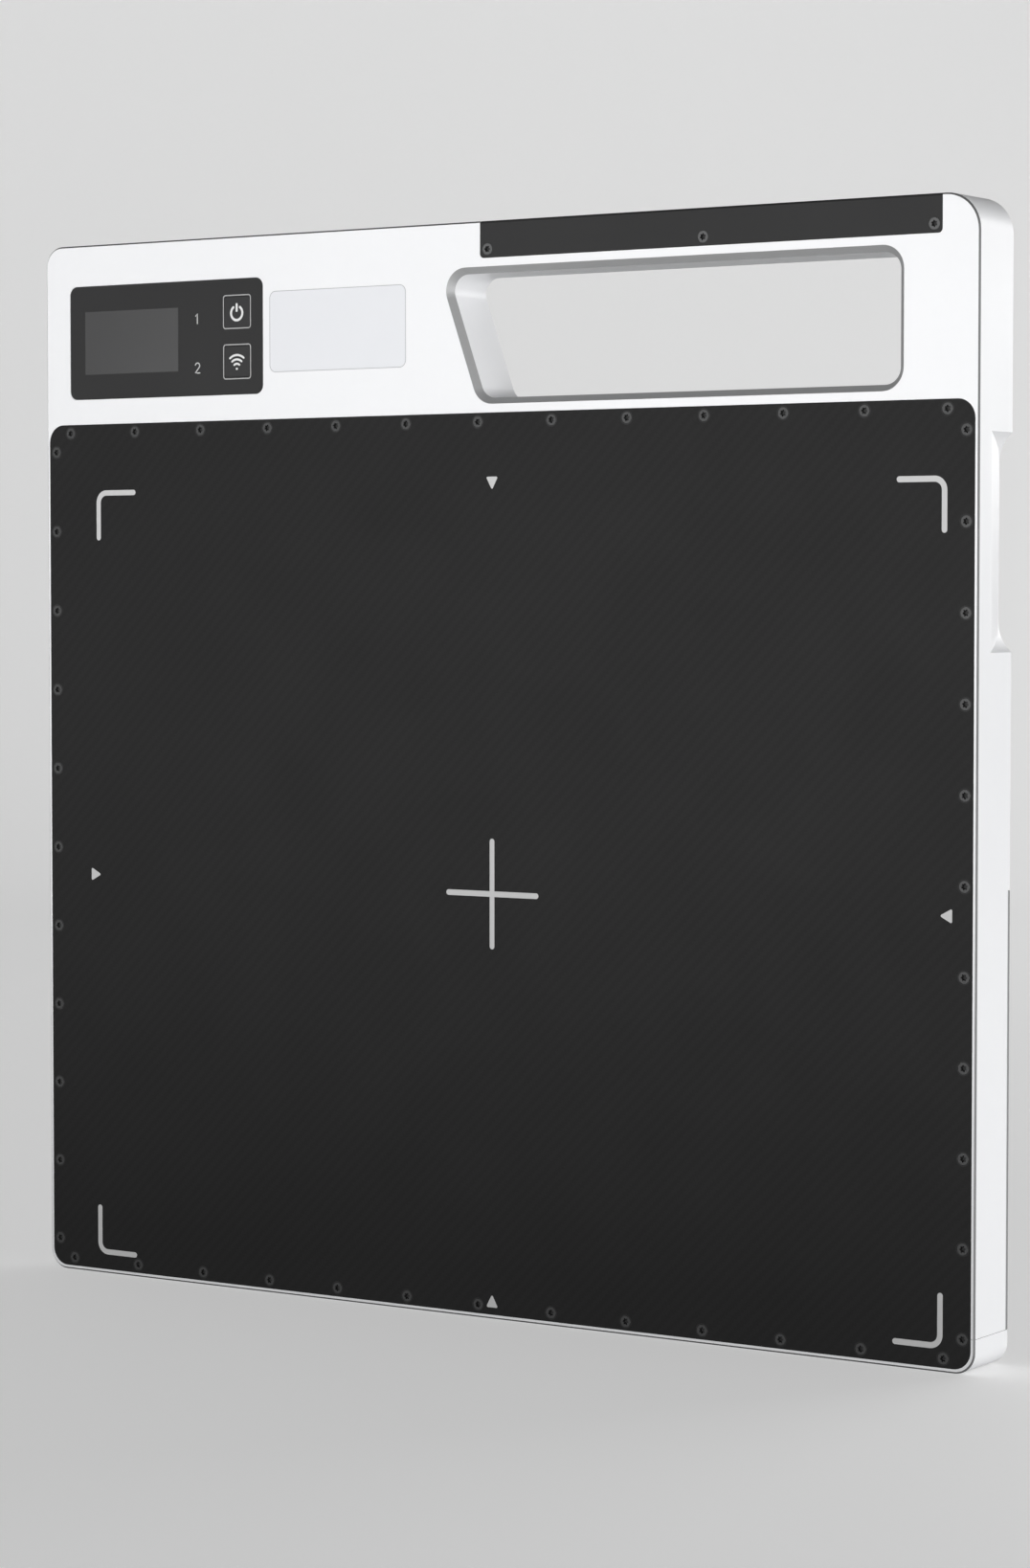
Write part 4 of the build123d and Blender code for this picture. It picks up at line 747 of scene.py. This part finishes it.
# Screws
@dataclass
class ScrewSet:
    """Countersunk socket screws that stand in the places of a CAD node's screws.

    A screw is a profile turned round its axis. The socket is a star, so its radius is
    mean + swing cos(tips (angle - turn)), and each screw's turn is a step further than the last
    one's. The socket and the gap between the head and the rim of its seat are painted near black:
    painted shade.
    """

    node: str
    name: str
    surface: Surface
    head: float = 2.5
    rim: float = 2.95
    socket: float = 1.15
    socket_swing: float = 0.22
    socket_depth: float = 1.0
    socket_taper: float = 0.9
    tips: int = 6
    turn: float = 2.4
    shank: float = 1.1
    proud: float = 0.02
    edge: float = 0.10
    shoulder: float = 0.14
    gap_depth: float = 0.40
    gap_edge: float = 0.02
    # Bands of the profile painted near black: painted shade in the socket and round the head.
    shaded_bands: tuple[int, ...] = (0, 1, 4, 5, 6, 7, 8)
    sides: int = 36
    axis: int = 1
    heads_low: bool = True

    def profile(self, length: float) -> Array:
        """Stations of the profile: socket, head, gap, rim, underside of the head, and shank.

        Args:
            length: Length of the screw.

        Returns:
            Rows of mean radius, swing of the socket and depth.
        """
        top, head, rim, edge = -self.proud, self.head, self.rim, self.edge
        return np.array([
            (self.socket * self.socket_taper, self.socket_swing, self.socket_depth),
            (self.socket, self.socket_swing, edge),
            (self.socket + edge, self.socket_swing, top),
            (head - self.shoulder, 0.0, top),
            (head, 0.0, edge),
            (head + self.gap_edge, 0.0, self.gap_depth),
            (head + edge, 0.0, self.gap_depth),
            (head + edge + self.gap_edge, 0.0, top / 2),
            (rim - 0.03, 0.0, top / 2),
            (rim, 0.0, 0.03),
            (rim - 0.3, 0.0, 0.05),
            (self.shank, 0.0, rim - self.shank),
            (self.shank, 0.0, length),
        ])

    def build(self) -> Object:
        """Builds all screws of the set as one piece; their heads face the same way as in CAD.

        Returns:
            The new object.
        """
        low, high = part_boxes(self.node)
        axis, count = self.axis, len(low)
        start, sign = (low, 1.0) if self.heads_low else (high, -1.0)
        radius, swing, depth = self.profile(float((high - low)[:, axis].mean())).T
        places = (low + high) / 2
        places[:, axis] = start[:, axis]
        angles = np.linspace(0, 2 * np.pi, self.sides, endpoint=False)
        turns = np.arange(count)[:, None, None] * self.turn
        around = radius[:, None] + swing[:, None] * np.cos(self.tips * (angles - turns))
        first, second = np.delete(np.eye(3), axis, axis=0)
        shape = (around * np.cos(angles))[..., None] * first
        shape += (around * np.sin(angles))[..., None] * second
        shape += (depth * sign)[:, None, None] * np.eye(3)[axis]
        points = (places[:, None, None] + shape).reshape(-1, 3)
        rows = len(radius)
        starts = np.arange(count) * rows * self.sides
        quads = grid_faces(rows, self.sides, True)[None] + starts[:, None, None]
        floors = np.arange(self.sides)[None] + starts[:, None]
        tips = floors + (rows - 1) * self.sides
        faces = quads.reshape(-1, 4).tolist() + floors.tolist() + tips.tolist()
        # Sockets, socket floors and the gaps round the heads take the near-black finish: painted
        # shade.
        dark = np.isin(np.repeat(np.arange(rows - 1), self.sides), self.shaded_bands)
        choice = np.concatenate([np.tile(dark, count), np.ones(count), np.zeros(count)])
        surfaces = [self.surface, Surface.RECESS_SHADE]
        piece = make_piece(self.name, (points, faces), surfaces, choice=choice)
        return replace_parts(piece, self.node)


# The object's own sub-assemblies
@dataclass
class Housing:
    """White frame with bare bevels, the rail along its bottom and the metal plate in its back."""

    edge_slant: Pair = (0.30, 0.97)
    edge_reach: float = 3.0
    seam: Pair = (14.2, 14.35)
    seam_ends: Pair = (0.8, 1.0)
    seam_sunk: float = 0.06
    seam_reach: float = 4.0
    hole_reach: float = 228.0
    hole_z: float = 416.0
    hole_half: float = 31.0

    def build(self) -> None:
        """Builds the frame, the bottom rail and the rear plate."""
        surfaces = [Surface.PAINT, Surface.SHADED_EDGE_METAL, Surface.BARE_METAL]
        shell = cad_copy("main_housing", "housing", surfaces)
        rail = cad_copy("bottom_rail", "rail", surfaces[:2])
        for piece in (shell, rail):
            # The outer bevels get the darker copy of the bare metal, painted shade; the hole's
            # bevels then get the bare metal itself.
            paint_faces(piece, 1, self.is_bevel)
        paint_faces(shell, 2, self.is_hole_bevel)
        cad_copy("rear_plate", "back_plate", [Surface.REAR_METAL])
        self.build_seam_shade()
        ScrewSet("rear_plate_screws", "back_screws", Surface.DARK_STEEL, heads_low=False).build()
        ScrewSet("rail_screws", "bottom_screws", Surface.DARK_STEEL, axis=2).build()

    def build_seam_shade(self) -> None:
        """Builds a black strip in the parting seam along each side, just under the surface: painted
        shade in the seam's gap.
        """
        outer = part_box("main_housing")[1].x / MM - self.seam_sunk
        inner, (low, high) = outer - self.seam_reach, self.seam
        corners = np.array([(inner, low), (outer, low), (outer, high), (inner, high)])
        front, back = FRONT + self.seam_ends[0], BACK - self.seam_ends[1]
        strips = [outline_slab(corners * (side, 1), front, back) for side in (-1, 1)]
        # Black rubber strips stand in the gap: painted shade.
        piece = make_piece("rail_seam_shade", joined(strips), [Surface.RUBBER])

    def is_bevel(self, centres: Array, normals: Array) -> Array:
        """Tells the faces that slant between the front and the sides, where paint was cut away."""
        slant, (low, high) = -normals[:, 1], self.edge_slant
        return (slant > low) & (slant < high) & (centres[:, 1] < FRONT + self.edge_reach)

    def is_hole_bevel(self, centres: Array, normals: Array) -> Array:
        """Tells those that lie round the hand hole, clear of the outer edges."""
        near = abs(centres[:, [0, 2]] - (0, self.hole_z)) < (self.hole_reach, self.hole_half)
        return self.is_bevel(centres, normals) & near.all(1)


@dataclass
class FrontPlate:
    """Carbon-fibre window with its screws and its printed alignment marks."""

    stroke: float = 2.4
    cross: Pair = (7.25, 180.5)
    cross_arm: float = 23.4
    bracket_arm: float = 20.0
    bracket_radius: float = 4.4
    bracket_run: float = 4.0
    brackets: tuple = ((-205.6, 352.3, 1, -1), (220.5, 352.0, -1, -1),
                       (-206.6, 9.7, 1, 1), (220.2, 10.3, -1, 1))
    pointer: float = 5.6
    pointer_slope: float = 0.54
    pointer_radius: float = 0.5
    pointers: tuple = ((7.27, 353.4, 270), (7.2, 7.65, 90), (-207.8, 180.8, 0),
                       (221.9, 180.6, 180))

    def build(self) -> None:
        """Builds the plate, the screws and the marks."""
        cad_copy("front_plate", "window", [Surface.CARBON])
        ScrewSet("front_plate_screws", "window_screws", Surface.BLACK_SCREW).build()
        marks = [self.cross_mark()]
        marks += [self.bracket(*place) for place in self.brackets]
        marks += [self.pointer_mark(*place) for place in self.pointers]
        piece = make_piece("window_marks", joined(marks), [Surface.PRINT])

    def cross_mark(self) -> Shape:
        """Cross with four equal arms: a round end and an inner corner, turned four times.

        Returns:
            The mark.
        """
        half, arm = self.stroke / 2, self.cross_arm
        quarter = np.concatenate([arc((arm - half, 0), half, -90, 90, 9), [[half, half]]])
        arms = [turned(quarter, turn) for turn in (0, 90, 180, 270)]
        return outline_slab(np.concatenate(arms) + self.cross, *printed(FRONT))

    def bracket(self, x: float, z: float, right: int, up: int) -> Shape:
        """Corner bracket: two arms with a quarter circle between them.

        Args:
            x, z: Its corner.
            right, up: Which ways its arms run, 1 or -1.

        Returns:
            The mark.
        """
        radius, arm = self.bracket_radius, self.bracket_arm
        run = radius + self.bracket_run
        turn = arc((radius, radius), radius, 180, 270, 9)
        path = np.concatenate([[(0, arm)], [(0, run)], turn, [(run, 0)], [(arm, 0)]])
        return ribbon_slab(path * (right, up) + (x, z), self.stroke, *printed(FRONT))

    def pointer_mark(self, x: float, z: float, turn: float) -> Shape:
        """Small triangle with soft corners.

        Args:
            x, z: Its middle.
            turn: The direction in which it points, in degrees.

        Returns:
            The mark.
        """
        half, side = self.pointer / 2, self.pointer * self.pointer_slope
        corners = turned(np.array([(half, 0), (-half, side), (-half, -side)]), turn)
        outline = rounded(corners + (x, z), self.pointer_radius, 5)
        return outline_slab(outline, *printed(FRONT))


@dataclass
class HandleCover:
    """Dark cover over the handle bar with its three screws."""

    bevel: float = 0.25

    def build(self) -> None:
        """Builds the cover and the screws."""
        cad_copy("handle_cover", "grip_cover", [Surface.DARK_PLASTIC], self.bevel)
        ScrewSet("handle_cover_screws", "grip_screws", Surface.GREY_SCREW).build()


@dataclass
class Key:
    """A key of the control panel: its cap, the sign on it and the printed line round it."""

    node: str
    z: float
    line_x: Pair
    line_z: Pair
    x: float = -127.2
    front: float = -14.35
    line_width: float = 0.5
    line_radius: float = 1.2
    stroke: float = 1.1

    def build(self, strokes: list[Array]) -> None:
        """Builds the cap with its sign.

        Args:
            strokes: Centre lines of the sign's strokes, measured from the key's middle.
        """
        cad_copy(self.node, self.node + "_cap", [Surface.KEY])
        parts = [ribbon_slab(path + (self.x, self.z), self.stroke, *printed(self.front))
                 for path in strokes]
        mark = make_piece(self.node + "_mark", joined(parts), [Surface.PRINT_BRIGHT], self.node)

    def line(self) -> Shape:
        """The thin printed line on the panel round the key."""
        outline = box_outline(*self.line_x, *self.line_z, self.line_radius)
        return ribbon_slab(outline, self.line_width, *printed(self.front), True)


@dataclass
class ControlPanel:
    """Bezel with the display window, the two keys and plain numerals beside them.

    Sizes of the two signs are measured from the middle of their key.
    """

    seal_width: float = 0.2
    seal_sunk: float = 0.01
    seal_depth: float = 0.4
    seal_radius: float = 0.25
    power: Key = field(default_factory=lambda: Key(
        "power_key", 430.3, (-134.7, -119.85), (423.2, 437.6)))
    wireless: Key = field(default_factory=lambda: Key(
        "wireless_key", 408.7, (-134.65, -119.85), (401.2, 416.1), stroke=0.92))
    sign_x: float = -0.2
    ring_z: float = -0.5
    ring_radius: float = 3.1
    ring_gap: float = 36.0
    bar_z: tuple[float, ...] = (3.3, 1.8, 0.5)
    dot_z: float = -3.2
    dot_half: float = 0.12
    wave_radii: tuple[float, ...] = (2.2, 4.1, 6.0)
    wave_spread: float = 39.0
    numeral_x: float = -149.2
    numeral_z: Pair = (428.2, 406.5)
    numeral_height: float = 4.4
    numeral_stroke: float = 0.5
    flag: Pair = (0.9, 1.1)
    bow: float = 1.2
    foot: Pair = (-1.25, 1.3)

    def build(self) -> None:
        """Builds the bezel, the window, the keys and the printing."""
        cad_copy("control_bezel", "panel_bezel", [Surface.DARK_PLASTIC])
        cad_copy("display_window", "panel_window", [Surface.GLASS_COVER])
        self.build_window_seal()
        self.power.build(self.power_strokes())
        self.wireless.build(self.wireless_strokes())
        parts = [self.power.line(), self.wireless.line()]
        lines = make_piece("panel_lines", joined(parts), [Surface.PRINT_THIN])
        parts = [ribbon_slab(path, self.numeral_stroke, *printed(self.power.front))
                 for path in self.numeral_paths()]
        digits = make_piece("panel_numerals", joined(parts), [Surface.PRINT])

    def build_window_seal(self) -> None:
        """Builds the thin bead of glue that fills the gap round the display window."""
        low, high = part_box("display_window")
        half, front = self.seal_width / 2, self.power.front + self.seal_sunk
        outline = box_outline(low.x / MM - half, high.x / MM + half, low.z / MM - half,
                              high.z / MM + half, self.seal_radius)
        shape = ribbon_slab(outline, self.seal_width, front, front + self.seal_depth, True)
        seal = make_piece("window_bead", shape, [Surface.DARK_PLASTIC])

    def power_strokes(self) -> list[Array]:
        """Standby sign: an open ring with an upright bar in its gap.

        Returns:
            Centre lines of its strokes.
        """
        x, gap = self.sign_x, self.ring_gap
        ring = arc((x, self.ring_z), self.ring_radius, 90 + gap, 450 - gap, 40)
        return [ring, np.array([(x, z) for z in self.bar_z])]

    def wireless_strokes(self) -> list[Array]:
        """Wireless sign: three arcs over a dot.

        Returns:
            Centre lines of its strokes.
        """
        middle, spread = (self.sign_x, self.dot_z), self.wave_spread
        waves = [arc(middle, radius, 90 + spread, 90 - spread, 16) for radius in self.wave_radii]
        return waves + [np.array([(-self.dot_half, 0.0), (self.dot_half, 0.0)]) + middle]

    def numeral_paths(self) -> list[Array]:
        """A 1 with a slanted flag, and a 2 that is an arc over a foot, beside the keys.

        Returns:
            Their centre lines.
        """
        high, (wide, drop), (left, right) = self.numeral_height / 2, self.flag, self.foot
        one = np.array([(-wide, high - drop), (0.0, high), (0.0, 0.0), (0.0, -high)])
        two = np.concatenate([arc((0, high - self.bow), self.bow, 165, -35, 14),
                              [(left, -high), (0.0, -high), (right, -high)]])
        return [path + (self.numeral_x, z) for path, z in zip((one, two), self.numeral_z)]


@dataclass
class LabelPlate:
    """Blank label with a fine dark line round it."""

    x: Pair = (-109.2, -37.0)
    z: Pair = (403.5, 438.4)
    radius: float = 3.0
    line: float = 0.28
    proud: float = 0.01

    def build(self) -> None:
        """Builds the label and the line round it."""
        cad_copy("label_plate", "blank_label", [Surface.LABEL])
        outline = box_outline(*self.x, *self.z, self.radius)
        shape = ribbon_slab(outline, self.line, FRONT - self.proud, FRONT + PRINT_SUNK, True)
        piece = make_piece("label_line", shape, [Surface.LABEL_EDGE])


@dataclass
class Battery:
    """Battery pack with its grip recess, and the two latches that hold it."""

    bevel: float = 0.25
    latch_bevel: float = 0.15

    def build(self) -> None:
        """Builds the pack's shell and the latches."""
        for node in ("battery_case", "battery_lid"):
            cad_copy(node, node + "_shell", [Surface.BATTERY], self.bevel)
        for side in ("right", "left"):
            cad_copy(f"latch_{side}", f"slide_{side}", [Surface.DARK_PLASTIC], self.latch_bevel)


@dataclass
class InnerWorks:
    """Everything inside the housing, which keeps its CAD shape and gets its finish."""

    finishes: dict[str, Surface]

    def dress(self) -> None:
        """Gives each CAD node the finish of its material slot."""
        for row in frame["record"]["subparts"]:
            node = frame["nodes"][row["node"]]
            node.data.materials.clear()
            node.data.materials.append(PAINTS.get(self.finishes[row["material_slot"]]))
        log.info("dressed %d nodes", len(frame["nodes"]))


@dataclass
class Lamp:
    """A soft rectangular lamp."""

    name: str
    place: tuple[float, float, float]
    size: Pair
    power: float
    aim: tuple[float, float, float] = (0.0, 0.0, 0.23)

    def build(self) -> None:
        """Places the lamp and turns it towards its aim."""
        data = bpy.data.lights.new(self.name, "AREA")
        data.shape = "RECTANGLE"
        data.size, data.size_y = self.size
        data.energy = self.power
        lamp = add_object(self.name, data)
        lamp.location = self.place
        lamp.visible_camera = False
        way = Vector(self.aim) - Vector(self.place)
        lamp.rotation_euler = way.to_track_quat("-Z", "Y").to_euler()


@dataclass
class Studio:
    """Pale floor that curves up behind the object, soft lamps, and the camera.

    The key lamp lights the front, the side and low lamps the right side, the fill lamp the scoop
    from behind, and the bounce lamp what faces down. Lengths are in metres.
    """

    turn: float = 33.6
    pitch: float = 87.345
    place: tuple[float, float, float] = (0.95712, -1.42666, 0.30592)
    lens: float = 92.83
    sensor: float = 36.0
    world: float = 0.12
    backdrop: float = 0.72
    glow: float = 0.42
    floor_front: float = 4.0
    floor_back: float = 2.2
    wall: float = 3.5
    bend: float = 1.2
    wide: float = 4.0
    lamps: tuple = (
        Lamp("key", (-1.4, -3.4, 0.34), (1.8, 0.9), 50.0),
        Lamp("side", (4.0, -1.2, 0.22), (2.6, 0.44), 91.0),
        Lamp("low", (0.62, 0.0, 0.05), (0.3, 0.08), 0.40, (0.2355, 0.0, 0.05)),
        Lamp("fill", (0.8, 2.8, 0.9), (2.0, 1.0), 24.0),
        Lamp("bounce", (-0.1, -1.0, 0.02), (1.8, 0.8), 15.0, (-0.1, -1.0, 1.0)),
    )

    def build(self) -> None:
        """Builds the floor, the world, the lamps and the camera."""
        self.build_floor()
        self.build_world()
        for lamp in self.lamps:
            lamp.build()
        self.build_camera()

    def build_floor(self) -> None:
        """Builds the floor: a profile of floor, quarter arc and wall, drawn out sideways."""
        reach = self.floor_back
        bend = arc((reach, self.bend), self.bend, -90, 0, 24)
        profile = np.concatenate([[(-self.floor_front, 0)], bend, [(reach + self.bend, self.wall)]])
        across = np.array([-self.wide, self.wide])
        turn = math.radians(self.turn)
        back = np.array([-math.sin(turn), math.cos(turn)])
        side = np.array([math.cos(turn), math.sin(turn)])
        flat = profile[:, None, :1] * back + across[None, :, None] * side
        high = np.broadcast_to(profile[:, None, 1:], (len(profile), 2, 1))
        points = np.concatenate([flat, high], -1).reshape(-1, 3)
        mesh = bpy.data.meshes.new("floor")
        mesh.from_pydata(points.tolist(), [], grid_faces(len(profile), 2, False)[:, ::-1].tolist())
        mesh.shade_smooth()
        mesh.materials.append(self.floor_material())
        floor = add_object("floor", mesh)

    def floor_material(self) -> bpy.types.Material:
        """Adds a glow that only the camera sees to the floor's finish: pale, but it lights nothing.

        Returns:
            The floor's material.
        """
        material = PAINTS.get(Surface.FLOOR)
        nodes = Tree(material.node_tree, empty=False)
        output = next(node for node in nodes.tree.nodes if node.type == "OUTPUT_MATERIAL")
        finish = output.inputs["Surface"].links[0].from_socket
        seen = nodes.add("ShaderNodeLightPath").outputs["Is Camera Ray"]
        strength = nodes.maths("MULTIPLY", seen, self.glow)
        glow = nodes.add("ShaderNodeEmission", {"Strength": strength}).outputs[0]
        both = nodes.add("ShaderNodeAddShader", {0: finish, 1: glow}).outputs[0]
        nodes.feed(output.inputs["Surface"], both)
        return material

    def build_world(self) -> None:
        """Gives even white light, and a paler background that only the camera sees."""
        world = bpy.data.worlds.new("studio")
        world.use_nodes = True
        nodes = Tree(world.node_tree)
        seen = nodes.add("ShaderNodeLightPath").outputs["Is Camera Ray"]
        strength = nodes.maths("MULTIPLY_ADD", seen, self.backdrop - self.world, self.world)
        light = nodes.add("ShaderNodeBackground", {"Color": (1, 1, 1, 1), "Strength": strength})
        nodes.add("ShaderNodeOutputWorld", {"Surface": light.outputs[0]})
        bpy.context.scene.world = world

    def build_camera(self) -> None:
        """Places the camera where the photograph was taken from."""
        data = bpy.data.cameras.new("camera")
        data.lens = self.lens
        data.sensor_width = self.sensor
        camera = add_object("camera", data)
        camera.location = self.place
        camera.rotation_euler = (math.radians(self.pitch), 0.0, math.radians(self.turn))
        bpy.context.scene.camera = camera
        bpy.context.scene.view_settings.view_transform = "Standard"


def main() -> None:
    """Builds the object from its sub-assemblies, then the studio."""
    logging.basicConfig(level=logging.INFO, format="%(name)s: %(message)s")
    InnerWorks(SLOT_FINISH).dress()
    Housing().build()
    FrontPlate().build()
    HandleCover().build()
    ControlPanel().build()
    LabelPlate().build()
    Battery().build()
    Studio().build()


if __name__ == "__main__":
    main()
